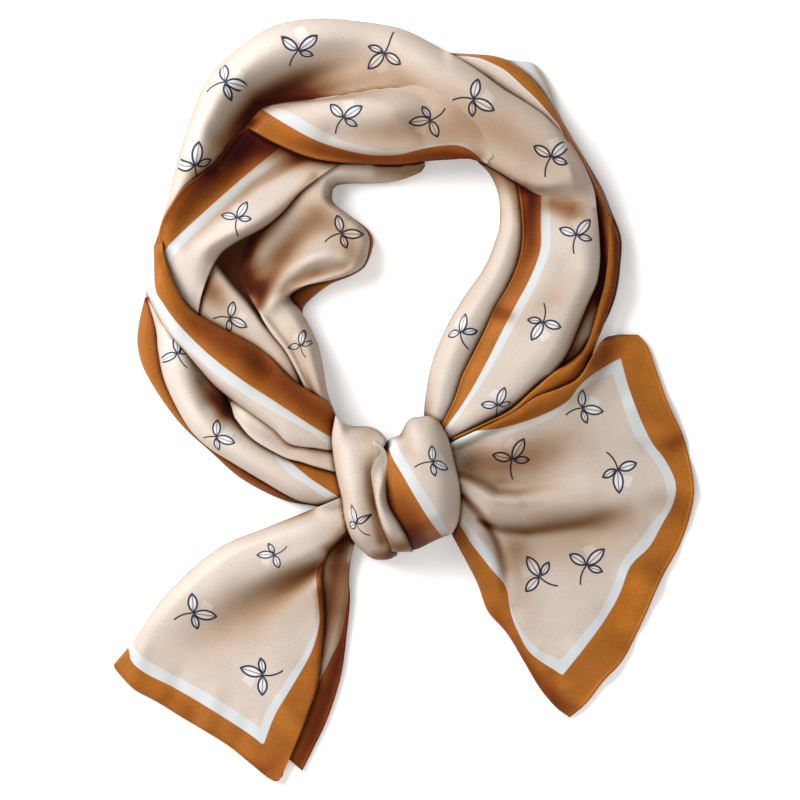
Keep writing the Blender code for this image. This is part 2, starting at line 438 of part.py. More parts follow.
# The section of the hidden layers: share of the way across, share of the height, and where across
# the height is read. The two sides swell and draw in like the edges of stacked folds.
HIDDEN_SECTION = [
    (0.06, 0.0, 0.15), (0.5, 0.0, 0.5), (0.94, 0.0, 0.85), (1.0, 0.25, 0.85), (0.95, 0.5, 0.85),
    (0.97, 0.8, 0.85), (0.85, 1.0, 0.85), (0.62, 1.0, 0.62), (0.38, 1.0, 0.38), (0.15, 1.0, 0.15),
    (0.03, 0.8, 0.15), (0.05, 0.5, 0.15), (0.0, 0.25, 0.15), (0.06, 0.0, 0.15),
]


def smooth(points, places):
    """A Catmull-Rom curve through the points, read at places counted from the first point."""
    points = np.asarray(points, float)
    padded = np.vstack([2 * points[0] - points[1], points, 2 * points[-1] - points[-2]])
    index = np.clip(places.astype(int), 0, len(points) - 2)
    t = (places - index)[:, None]
    before, here, ahead, beyond = (padded[index + step] for step in range(4))
    bend = 2 * before - 5 * here + 4 * ahead - beyond
    return 0.5 * (2 * here + (ahead - before) * t + bend * t**2 + (3 * here - before - 3 * ahead + beyond) * t**3)


def even_places(points, steps):
    """Places along the curve through the points that stand at equal distances."""
    fine = np.linspace(0, len(points) - 1, 40 * len(points))
    curve = smooth(points, fine)
    run = np.concatenate([[0], np.cumsum(np.linalg.norm(np.diff(curve, axis=0), axis=1))])
    return np.interp(np.linspace(0, run[-1], steps + 1), run, fine)


def spread(steps, first, second):
    """Shares from 0 to 1 in the given steps, closer at an end that is rounded."""
    middle = (np.arange(steps) + 0.5) / steps
    width = 1 - 0.7 * first * (1 - middle) ** 3 - 0.7 * second * middle**3
    run = np.concatenate([[0], np.cumsum(width)])
    return run / run[-1]


def plan(table, along, across, ends):
    """Places of a shell's points seen from above, and their heights, from its table of sections."""
    rows = np.array(table, float)
    read = smooth(rows, even_places((rows[:, 0:2] + rows[:, 2:4]) / 2, along))
    v = across[None, :, None]
    flat = read[:, None, 0:2] * (1 - v) + read[:, None, 2:4] * v
    u = np.linspace(0, 1, along + 1)[:, None, None]
    for curve, row, share in ((ends[0], 0, 1 - u), (ends[1], -1, u)):
        if curve is not None:
            line = smooth(curve, np.interp(across, np.linspace(0, 1, 101), even_places(curve, 100)))
            flat = flat + share**2 * (line - flat[row])[None]
    s = across[None, :]
    low, middle, high = (read[:, None, column] for column in (4, 5, 6))
    height = low * (1 - s) * (1 - 2 * s) + middle * 4 * s * (1 - s) + high * s * (2 * s - 1)
    return flat, height


def crease(flat, rows):
    """Height that a soft ridge or trough along a line of rows x, y, height, half width adds."""
    rows = np.array(rows, float)
    best = np.full(flat.shape[:2], np.inf)
    added = np.zeros(flat.shape[:2])
    for start, end in zip(rows[:-1], rows[1:]):
        way = end[:2] - start[:2]
        share = np.clip(((flat - start[:2]) @ way) / (way @ way), 0, 1)
        off = np.linalg.norm(flat - start[:2] - share[..., None] * way, axis=2)
        height = start[2] + share * (end[2] - start[2])
        width = start[3] + share * (end[3] - start[3])
        nearer = off / width < best
        best = np.where(nearer, off / width, best)
        added = np.where(nearer, height, added)
    return added * np.exp(-(best**2))


def rounded(away, radius):
    """Share of the full height at a distance from an edge that turns down in a quarter round."""
    return np.sqrt(1 - (1 - np.clip(away / radius, 0, 1)) ** 2)


def shell_points(table, along, steps, radii, ends, creases, top):
    """Points of one shell's upper surface, in rows along it, each row across it."""
    flat, height = plan(table, along, spread(steps, radii[0] > 0, radii[1] > 0), ends)
    for rows in creases:
        height = height + crease(flat, rows)
    support = widen(top, 2, np.maximum)
    width = np.linalg.norm(flat[:, -1:] - flat[:, :1], axis=2)
    length = np.linalg.norm(np.diff(flat, axis=0), axis=2).sum(0)[None]
    edges = ((flat[:, :1], width), (flat[:, -1:], width), (flat[:1], length), (flat[-1:], length))
    for (edge, span), radius in zip(edges, radii):
        if radius == 0:
            continue
        turn = np.minimum(radius, ROUND_SHARE * span)
        rests_on = support[cell(edge)]
        floor = np.where(rests_on > 0, rests_on + GAP + 1.5 * WALL, 0)
        floor = np.maximum(np.maximum(floor, EDGE_HEIGHT), height - EDGE_DROP * turn)
        away = np.linalg.norm(flat - edge, axis=2)
        height = np.minimum(height, floor) + np.maximum(height - floor, 0) * rounded(away, turn)
    return np.dstack([flat, height])


def refine(points, parts):
    """The faceted surface through a grid of points, read at more places."""
    for axis in (0, 1):
        count = points.shape[axis]
        places = np.linspace(0, count - 1, (count - 1) * parts + 1)
        low = np.clip(places.astype(int), 0, count - 2)
        share = (places - low).reshape([-1 if a == axis else 1 for a in range(3)])
        points = np.take(points, low, axis) * (1 - share) + np.take(points, low + 1, axis) * share
    return points


def upright(points):
    """Upward part of the surface's normal at each point of a grid."""
    normal = np.cross(np.gradient(points, axis=0), np.gradient(points, axis=1))
    return np.abs(normal[..., 2]) / np.maximum(np.linalg.norm(normal, axis=2), 1e-9)


def widen(grid, cells, pick):
    """Greatest or least value of a map within some cells of each place."""
    for axis in (0, 1):
        layers = [np.roll(grid, shift, axis) for shift in range(-cells, cells + 1)]
        grid = pick.reduce(layers)
    return grid


def cell(points):
    """Indices of the map's cells under the points."""
    x = np.clip(np.round(points[..., 0] - REACH[0]).astype(int), 0, REACH[2] - 1)
    y = np.clip(np.round(points[..., 1] - REACH[1]).astype(int), 0, REACH[3] - 1)
    return x, y


def lay_on(points, top, parts=6):
    """Raises a shell where it would come too near to what lies under it."""
    support = widen(top, 2, np.maximum)
    below = support[cell(points)]
    clear = np.where(below > 0, below + GAP + WALL / np.clip(upright(points), 0.5, 1), 0)
    points[..., 2] = np.maximum(points[..., 2], clear)
    for _ in range(6):
        fine = refine(points, parts)
        thick = WALL / np.clip(upright(fine), 0.5, 1)
        below = support[cell(fine)]
        need = np.where(below > 0, below + GAP + thick - fine[..., 2], 0)
        need = widen(np.pad(np.clip(need, 0, None), parts), parts - 1, np.maximum)[parts:-parts, parts:-parts]
        lift = need[::parts, ::parts]
        if lift.max() < 0.02:
            break
        points[..., 2] += lift
    return points


def mark(points, top, bottom, parts=6):
    """Enters a shell in the two maps: its upper side in one, its underside in the other."""
    fine = refine(points, parts)
    place = cell(fine)
    under = fine[..., 2] - WALL / np.clip(upright(fine), 0.4, 1)
    np.maximum.at(top, place, fine[..., 2])
    np.minimum.at(bottom, place, under)


def material(name, colour):
    """A satin finish in one of the scarf's colours."""
    made = bpy.data.materials.new(name)
    made.use_nodes = True
    shader = made.node_tree.nodes["Principled BSDF"]
    shader.inputs["Base Color"].default_value = COLOURS[colour]
    shader.inputs["Roughness"].default_value = 0.42
    shader.inputs["Metallic"].default_value = 0.0
    made.diffuse_color = COLOURS[colour]
    return made


def new_object(name, mesh, colour, collection):
    """Puts a mesh in the scene as a named object with its own material."""
    mesh.materials.append(material(name, colour))
    mesh.shade_smooth()
    made = bpy.data.objects.new(name, mesh)
    collection.objects.link(made)
    return made


def grid_mesh(name, points, close=False):
    """A mesh through a grid of points, welded where its first and last rows and columns meet."""
    along, across = points.shape[0] - 1, points.shape[1] - 1
    shape = bmesh.new()
    bmesh.ops.create_grid(shape, x_segments=along, y_segments=across, size=0.5)
    for vertex in shape.verts:
        row = round((vertex.co.x + 0.5) * along)
        column = round((vertex.co.y + 0.5) * across)
        vertex.co = points[row, column] * MM
    if close:
        bmesh.ops.remove_doubles(shape, verts=shape.verts, dist=0.00001)
    shape.normal_update()
    if not close and sum(face.normal.z for face in shape.faces) < 0:
        bmesh.ops.reverse_faces(shape, faces=shape.faces)
    if close:
        bmesh.ops.recalc_face_normals(shape, faces=shape.faces)
    mesh = bpy.data.meshes.new(name)
    shape.to_mesh(mesh)
    shape.free()
    return mesh


def add_shell(name, points, colour, collection):
    """One stretch of cloth: its upper surface, with the wall under it."""
    made = new_object(name, grid_mesh(name, points), colour, collection)
    wall = made.modifiers.new("wall", "SOLIDIFY")
    wall.thickness = WALL * MM
    wall.offset = -1
    return made


def add_hidden_layers(bottom, collection):
    """The bunched layers inside: a closed ring with a flat underside, kept under every shell."""
    rows = np.array(HIDDEN_LAYERS, float)
    wrapped = np.vstack([rows[-2:], rows, rows[:3]])
    places = np.linspace(2, 2 + len(rows), HIDDEN_STEPS + 1)
    read = smooth(wrapped, places)
    room = widen(bottom, 5, np.minimum)
    points = np.zeros((HIDDEN_STEPS + 1, len(HIDDEN_SECTION), 3))
    for column, (across, rise, sample) in enumerate(HIDDEN_SECTION):
        flat = read[:, 0:2] * (1 - across) + read[:, 2:4] * across
        over = read[:, 0:2] * (1 - sample) + read[:, 2:4] * sample
        room_here = np.minimum(room[cell(flat)], room[cell(over)])
        free = np.minimum(room_here - GAP - CORE_DROP, read[:, 4])
        points[:, column, 0:2] = flat
        points[:, column, 2] = rise * np.maximum(free, CORE_FLOOR)
    points[-1] = points[0]
    return new_object("hidden_layers", grid_mesh("hidden_layers", points, close=True), "deep", collection)


def centre(objects):
    """Moves all meshes so that the middle of the whole stands over the origin."""
    bpy.context.view_layer.update()
    graph = bpy.context.evaluated_depsgraph_get()
    corners = []
    for made in objects:
        mesh = made.evaluated_get(graph).data
        places = np.array([vertex.co[:] for vertex in mesh.vertices])
        corners += [places.min(0), places.max(0)]
    low, high = np.min(corners, axis=0), np.max(corners, axis=0)
    shift = (-(low[0] + high[0]) / 2, -(low[1] + high[1]) / 2, 0.0)
    for made in objects:
        for vertex in made.data.vertices:
            vertex.co.x += shift[0]
            vertex.co.y += shift[1]


def build():
    """Builds every shell from the lowest to the highest, and then the layers under them."""
    for old in list(bpy.data.objects):
        bpy.data.objects.remove(old, do_unlink=True)
    collection = bpy.data.collections.new("ribbon_scarf")
    bpy.context.scene.collection.children.link(collection)
    top = np.zeros(REACH[2:])
    bottom = np.full(REACH[2:], np.inf)
    made = []
    for name, table, along, steps, radii, ends, creases, colour in SHELLS:
        points = shell_points(table, along, steps, radii, ends, creases, top)
        points = lay_on(points, top)
        mark(points, top, bottom)
        made.append(add_shell(name, points, colour, collection))
    made.append(add_hidden_layers(bottom, collection))
    centre(made)


build()
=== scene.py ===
"""Ribbon scarf of printed silk satin, lying flat in a loose ring, half knotted, seen from straight above.

Every stretch of cloth is a thin sheet on the form of its solid. Its sections are the solid's, in nine sheets
changed by up to 5 mm or by a few rows, and are read more finely. The hems, the printed border, the sprigs and
the small creases are added, and shade, with some light, is painted into the cloth's colour in each fold. Places
are in millimetres until the meshes are made.
"""

import math

import bmesh
import bpy
import numpy as np
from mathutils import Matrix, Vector


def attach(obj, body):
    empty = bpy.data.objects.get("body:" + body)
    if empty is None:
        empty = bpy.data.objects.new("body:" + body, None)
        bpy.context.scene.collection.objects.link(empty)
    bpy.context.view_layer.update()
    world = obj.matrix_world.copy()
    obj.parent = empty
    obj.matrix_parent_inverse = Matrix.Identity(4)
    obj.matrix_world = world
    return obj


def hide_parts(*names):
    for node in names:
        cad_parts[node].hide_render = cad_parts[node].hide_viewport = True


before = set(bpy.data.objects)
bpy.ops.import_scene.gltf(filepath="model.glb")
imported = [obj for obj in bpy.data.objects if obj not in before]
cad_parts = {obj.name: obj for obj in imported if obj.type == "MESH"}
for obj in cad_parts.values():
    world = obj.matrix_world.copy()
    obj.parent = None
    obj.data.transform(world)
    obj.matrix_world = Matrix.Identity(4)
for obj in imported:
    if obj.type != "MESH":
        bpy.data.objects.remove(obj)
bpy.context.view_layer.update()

MM = 0.001  # one millimetre in metres
SHIFT = (0.0, -0.25)  # from the tables' millimetres to the part's frame
STEP = 1.6  # distance between the points of a sheet
LAYER = 1.6  # height that one sheet lies above the next
LEEWAY = 0.6  # how much nearer than that softening may bring them
GROUND = 0.6  # least height of a sheet where nothing lies under it
THICK = 0.5  # thickness of the cloth as shown
AREA = (-150.0, -200.0, 310, 410)  # corner and size of the height map, whose cells are 1 mm wide
FINE = 3  # how many times more finely a sheet is read for the map
EDGE_HEIGHT = 1.6  # least height of a rounded edge's rim
EDGE_LIFT = 0.4  # how much more than a layer its rim lies above what it rests on
EDGE_DROP = 2.1  # a rounded edge comes down at most this many times its radius
ROUND_SHARE = 0.4  # greatest share of a sheet's width that one edge rounds
ROUND_FROM = 3  # radius above which the points stand closer together at a rounded edge
CROWD = 0.65  # how much closer
HEM = (0.0, 0.3, 0.6, 0.95, 1.3, 1.7)  # distances from a hem at which it is modelled
HEM_GAP = 0.02  # share of a section that the rows before a hem keep clear
HEM_ROLL = 0.45  # height of the rolled hem over the cloth beside it
HEM_WIDTH = 1.5  # width of the roll
SUNK = 0.6  # how far a tucked edge lies under the sheet that it runs into
BENEATH = 15  # least height of an edge that runs in beneath another sheet
OVERHANG = (14, 6)  # an edge this high over what lies below isn't tucked, and the height over which that fades
FAR = 9.0  # stands for a place that no border line or sprig comes near
CORNER = 0.6  # a border line keeps a bend whose cosine is below this
SPRIG_DEPTH = 0.8  # how far from its plane a sprig still prints, in half widths
# Painted shade of each fold, from the walls that shut off the sky:
SKY_TURNS = 16  # directions in which a point looks for walls
SKY_REACHES = (1.0, 2.0, 3.5, 5.5, 8.0, 11.0, 15.0, 20.0)  # and the distances
ONE_WALL = 0.2  # weight of a wall on one side only
WALL_FROM = 0.5  # least height of a wall over the place that it shades
BASE_SHADE = 0.1  # painted shade of a place in the open; lines below zero paint light over it

# Sections of every sheet: ax, ay, bx, by are the ends of a section on the sheet's two long edges, and za, zm, zb
# its height at the first edge, half way and at the second edge.
SECTIONS = {
    "outer_left_edge": [
        (-128.4,57.5,-124,58,3,4,4), (-133,38.5,-119,37,6,7,5), (-133.5,26,-118,24,7,8,5),
        (-128.5,11.5,-114,8,7,8,5), (-113.5,-10.5,-103,-11,5,6,5), (-97,-26,-91,-22,5,6,5),
        (-81.5,-39.5,-77,-29,6,7,5), (-61,-50,-58,-40,6,7,6), (-46,-53,-45,-45,6,7,7), (-34,-55.2,-33,-48,6,8,8),
    ],
    "back_right_outer": [
        (50,171,48,165,5,6,5), (57,170,54,162,5,6,5), (65.5,168.5,60,157,5,7,5), (72.5,158.5,65,150,6,7,5),
        (78,143.5,71,139,6,7,5), (83,134,76,129,6,7,5), (92,119,85,115,6,7,5), (99,107,91.5,103,6,7,5),
        (104,95,96,92,7,8,5), (109,81,100,80,8,9,6), (108.5,67,100,67,8,9,6), (107,55.5,98,56,8,9,6),
        (104,45.5,94,46,7,8,6), (97,31,88,34,6,7,6),
    ],
    "back_right_inner": [
        (22,174,20,168,11,12,11), (41.5,173,34,162,12,13,11), (50,171,43,156,12,13,11), (57,166.5,50,151,12,13,11),
        (66,158.5,58,146,12,13,11), (74.5,146.5,67,138,12,13,11), (81.5,135,74,128,12,13,10),
        (88.5,123.5,81,117,12,13,10), (95,111,87,106,12,13,10), (100.5,98,91.5,94,12,13,10),
        (104.8,83,94.5,81,13,13,10), (105,70,95,69,13,13,10), (103.5,57,93,57,13,13,10), (98.5,43.5,88,45,12,12,10),
        (93,31,84,34,11,11,10), (89,21,79,24,10,10,10), (80,9,71,13,10,10,10),
    ],
    "lobe_back_edge": [
        (-34,97.5,-40,91,4,5,3), (-25,91,-31,86,4,5,3), (-18.5,86,-26,82,4,5,3), (-15.5,81,-24,79,4,5,3),
        (-16,75.5,-24,75,4,5,3), (-19.5,67,-27,71,4,5,3), (-27,62,-32,68,4,5,3), (-36,58.5,-42,65,4,5,3),
        (-44,53,-54,61,4,5,3), (-50,47,-60,52,4,5,3), (-51,42,-58,44,4,5,3),
    ],
    "big_left_fold": [
        (-129.4,53,-119,55,12,13,11), (-124.3,36,-112,44,15,16,12), (-123,24,-103,31,17,18,11),
        (-119.5,8.5,-91,12,18,20,7), (-109.5,-11.5,-88,-1,19,21,6), (-99,-23,-82,-8.5,19,21,6),
        (-85,-32,-70,-17,19,21,9), (-72.5,-39.5,-57,-25,18,20,11), (-56,-49,-46,-29,17,19,12),
        (-46,-52,-38,-31.5,16,18,12), (-27,-55,-25,-34,15,17,12),
    ],
    "second_left_fold": [
        (-84.5,-9,-87,-1,10,12,11), (-79,-16,-80,0,14,16,14), (-74,-20.5,-72,-3.5,15,17,14),
        (-66.5,-25,-64,-8,16,17,14), (-58.5,-29,-56,-12.5,17,17,14), (-51,-31,-49,-15,18,18,13),
        (-43.5,-33.5,-42,-18,19,18,13), (-27,-38,-26,-22,18,17,13),
    ],
    "inner_left_piece": [
        (-97,72,-112,56,9,9,8), (-84.5,56.5,-104,38,12,13,9), (-75,46,-91,30,13,14,10), (-70,39.5,-80,23,14,15,11),
        (-62.5,31.5,-70,15,14,15,11), (-56,22,-61,7,14,15,12), (-48.5,6,-52,-3,14,14,12), (-36,-10,-39,-14,13,13,12),
    ],
    "lobe_panel": [
        (10.5,117,10,126,10,11,11), (7,113.5,3,126,10,12,11), (-8,109,-12,125,11,13,11), (-32,108,-38,124,12,14,10),
        (-36,103,-56,112,13,15,9), (-34.5,98,-64,102,14,15,8), (-26.5,92,-71,92,15,14,6), (-18.5,84,-76,83,15,12,5),
        (-17.5,76,-81,70,15,12,4), (-21.5,66,-82,60,15,12,4), (-34.5,60.5,-78,53,12,14,5), (-47,58,-75,48,10,15,7),
        (-57,52,-72,43,12,16,9), (-52,45,-70.5,40,14,17,10), (-46.5,35.5,-66,33,16,18,10),
        (-42.5,26,-59,24,17,19,11), (-40,14,-53,13,17,19,11), (-38.2,4,-48,3,16,18,11), (-34,-8,-41,-8,14,15,11),
    ],
    "inner_right_tube": [
        (37,119.5,48,121,10,11,10), (43.5,112.5,57,114,12,13,11), (47.5,102,63,102,14,15,11),
        (48,89,64.5,88,16,17,12), (46,80.5,63,77,17,18,12), (40,66,59,62,18,19,12), (29,50,51,46,18,20,12),
        (20.5,35,43,31,18,20,12), (14,18.5,36,17,18,20,12), (11,3,31,3,17,19,12), (10,-8,26,-8,15,17,12),
        (11,-18,21,-18,13,14,12),
    ],
    "right_panel": [
        (55,116,86,124,14,16,16), (57.5,103,94.5,105,15,18,18), (58.8,90,96.5,93,17,19,19), (59,80,97.6,82,18,22,21),
        (57,69,98,70,19,24,23), (52.5,58,96.5,59,20,25,24), (45.5,46,92.8,50,20,25,24), (40,34,87.5,37,20,25,23),
        (34.5,23,82,24,20,24,22), (29,12,74,12,20,23,18), (25.5,1.5,62,0,19,22,15), (20.5,-9,44,-12,18,20,14),
        (16,-17,24,-22,16,17,14),
    ],
    "main_loop": [
        (-129.6,51,-120,54,11,13,10), (-128.8,62,-118,64,12,14,10), (-126.7,71,-117,74,15,15,10),
        (-122.5,85,-112,87,20,18,10), (-118.5,99.5,-105,97,23,21,10), (-114,118.5,-94,106,26,23,10),
        (-110,133,-84,118,28,25,10), (-105,146.5,-76,127,29,25,9), (-98.5,161.5,-68,134,29,24,9),
        (-85,175,-58,138,29,22,9), (-66,187.5,-48,139,28,21,10), (-44,191.5,-34,139,27,20,12),
        (-22,190,-18,138,26,19,16), (-2,186.5,0,135,26,22,18), (13,179.5,14,128,27,25,19),
        (24,173,27,122.5,27,27,20), (37.5,164.5,36,120.5,28,28,21), (50,155.5,44,116,28,28,22),
        (63,147.5,53,110.5,28,28,23), (75.5,138,61,105.5,28,28,23), (83.5,128,68,101.5,28,28,22),
        (90,117,75,98,28,27,22), (95,104.5,82,93.5,27,26,22), (96,95.5,86,89.5,26,25,22),
    ],
    "dark_band_roll": [
        (-68,139,-22,124,13,12,12), (-81,134.5,-35.5,116,14,14,15), (-94.5,117.5,-51,104.5,14,16,18),
        (-109,106.5,-60.5,94,15,18,20), (-116.5,96.5,-70.5,86,16,20,22), (-121.5,87,-83,79.5,17,21,22),
        (-122.5,79.5,-91,74,17,21,21), (-121,72,-96,66,16,19,18), (-115,58,-101,53,12,14,13),
        (-107,44,-103,43,10,11,11),
    ],
    "top_fold": [
        (-70,147,-79,136.5,20,21,19), (-60,149,-66,129,22,25,20), (-46,150.5,-48.5,121.5,23,28,21),
        (-30,153,-32.5,118.5,24,30,22), (-14,157,-14,117.5,24,31,22), (2,159,-1,117.5,26,31,22),
        (16,158,11,119,28,30,22), (30,150,23,119.8,29.5,29,22), (40,138,32,120.2,30,28,22),
        (43,127.5,37.5,118.8,28,26,23), (44.5,121,41.5,117.8,27,25,23),
    ],
    "left_main_band": [
        (-120,88.5,-120.5,88.2,11,11,9), (-120.2,82.5,-123.2,81,15,15,12), (-120,76,-126.4,72.5,20,19,13),
        (-118.5,69,-128.3,64,20,20,13), (-115,59.5,-129,55.5,20,22,14), (-109.5,49,-122,41,20,23,19),
        (-103.5,43,-116,32,20,24,22), (-96,38.5,-109,24,20,24,22), (-84.5,32.5,-97,9.5,20,25,23),
        (-73,26,-88,1.5,20,26,23), (-65.5,20,-79.5,-4.5,20,26,23), (-56,10.5,-65.5,-14.5,21,26,23),
        (-46.5,4,-57,-22,21,25,22), (-38.5,-1,-44,-24,21,24,21), (-34.8,-6,-37,-25,20,22,20),
        (-29,-15,-28,-25,18,20,18),
    ],
    "right_over_fold": [
        (102.3,92,103.2,91.8,12,12,12), (102.5,82,107.5,81,14,14,13), (101.8,70,107.2,69,14,14,13),
        (100.2,58,105.6,56,14,14,13), (97.3,47,102.5,45.5,14,14,12), (94.5,37,99,35,14,14,11),
        (91,27.5,95.2,25.5,14,13,10), (85.5,21,90.5,10,18,16,10), (74.5,13.5,81,-1,19,17,11),
        (64,4.5,68,-7,19,17,11), (53,-5,55,-12,19,17,12), (42,-10.8,43,-16,18,17,13), (24,-19,24,-24,16,15,13),
    ],
    "left_tail_back": [
        (-22,-66,-30,-66,8,8,7), (-25,-73,-35,-72,7,7,6), (-26.8,-81,-42,-79,6,6,5), (-27.5,-90,-50,-88,5,5,3),
        (-27,-100,-56,-98,4,4,2), (-28.5,-116,-64,-112,3,3.5,2), (-31.5,-138,-74,-128,2.4,3,2),
        (-38,-159,-82,-140,2,2.6,2), (-45,-174,-86,-148,1.8,2.2,2), (-51,-186,-86,-156,1.8,2,2),
    ],
    "left_tail_front": [
        (-25,-46,-20,-60,14,15,14), (-45.5,-54.5,-33.5,-71.5,14,15,11), (-58,-59.5,-38.5,-78,15,15,10),
        (-73,-65.5,-41,-86.5,16,13,10), (-88,-71.5,-40.3,-99.5,16,10,9), (-101.5,-80.5,-40,-113,14,8.5,8),
        (-113.5,-91.5,-41.5,-129,12,8,7.5), (-122.5,-101.5,-43.5,-144,10,7,7), (-130.5,-113,-47.5,-155.5,7.5,6,6),
        (-137.5,-123,-52,-167.5,4.5,4.5,5), (-145.5,-132.5,-60,-185.5,2.2,2.4,3.8),
    ],
    "right_tail": [
        (21.5,-22.5,20,-60,16,18,12), (26,-20,24.5,-68.5,17,19,10), (42,-12.5,31.5,-81.5,17,18,8),
        (55,-6,37,-92.5,18,16,6), (66,1.5,42,-106,18,13.5,4.5), (78,6,51.5,-117,15,11.5,3.5),
        (88,12,60,-131,11,9.5,2.8), (98.5,29,68,-144.5,7,7.5,2.4), (106,32.6,76,-154,4.5,5,2.2),
        (117.5,32.8,83,-159.3,2.2,2.4,2.2),
    ],
    "knot_right_lobe": [
        (-11,-22.5,17.5,-10.5,27,33,30), (-12,-29,22,-19,32,38,33), (-11,-36,25,-30,33,40,34),
        (-11,-46,27.5,-42,33,41,35), (-9,-56,28.2,-52,32,39,34), (-5,-66,27,-61,29,35,31), (0,-76,24,-67,24,27,25),
    ],
    "knot_left_lobe": [
        (-34.2,-7.5,-8.5,-19.5,26,32,30), (-36,-18,-11,-26,30,38,32), (-35.3,-28.5,-13,-34,33,40,32),
        (-33.5,-39,-12.5,-43,34,41,32), (-31,-49.5,-11,-52,34,40,31), (-29.5,-60,-7,-62,32,38,30),
        (-25.5,-70.5,-3,-71,28,33,27), (-18,-78.3,-3.5,-78,22,24,22),
    ],
    "knot_narrow_fold": [
        (-15,-19.5,-11.5,-22,33,34,32), (-16.3,-27,-8,-27.5,36,40,37), (-16.5,-36,-8.2,-36,37,42,38),
        (-15.5,-45,-8.7,-45,37,42,38), (-13.8,-54,-7.3,-53,36,41,37), (-11.3,-62.5,-1.5,-62.5,33,37,34),
        (-8,-70,2.5,-70.5,29,31,29), (-6,-75.5,4.5,-76,21,22,21),
    ],
}

# Curves that a sheet's start and end follow where they aren't straight.
ENDS = {
    "left_tail_front": (
        None,
        [(-145.5,-132.5), (-144.5,-135.5), (-135.5,-145), (-125.5,-150.5), (-112.5,-158.5), (-100.5,-165.5),
         (-88,-173.5), (-78,-181.5), (-68,-189.5), (-63,-191), (-60,-185.5)],
    ),
    "right_tail": (
        None,
        [(117.5,32.8), (122.5,26.5), (127,14), (132.5,-1.5), (139.5,-16.5), (143.5,-30.5), (145.5,-45), (143.5,-58),
         (138.5,-72.5), (130.5,-87), (125.5,-97.5), (120,-110.5), (110,-130), (100.5,-140.5), (91.5,-152),
         (83,-159.3)],
    ),
    "knot_right_lobe": (
        [(-11,-22.5), (-7,-19.3), (-2,-17.3), (0,-13.5), (3,-9.3), (8,-8.3), (13.5,-8), (17.5,-10.5)],
        [(0,-76), (6,-75), (10.5,-73), (17,-69.8), (24,-67)],
    ),
    "knot_left_lobe": (
        [(-34.2,-7.5), (-30.5,-11), (-25.5,-13), (-18.5,-13.2), (-13,-15), (-8.5,-19.5)],
        [(-18,-78.3), (-14.5,-79.9), (-8,-80), (-3.5,-78)],
    ),
}

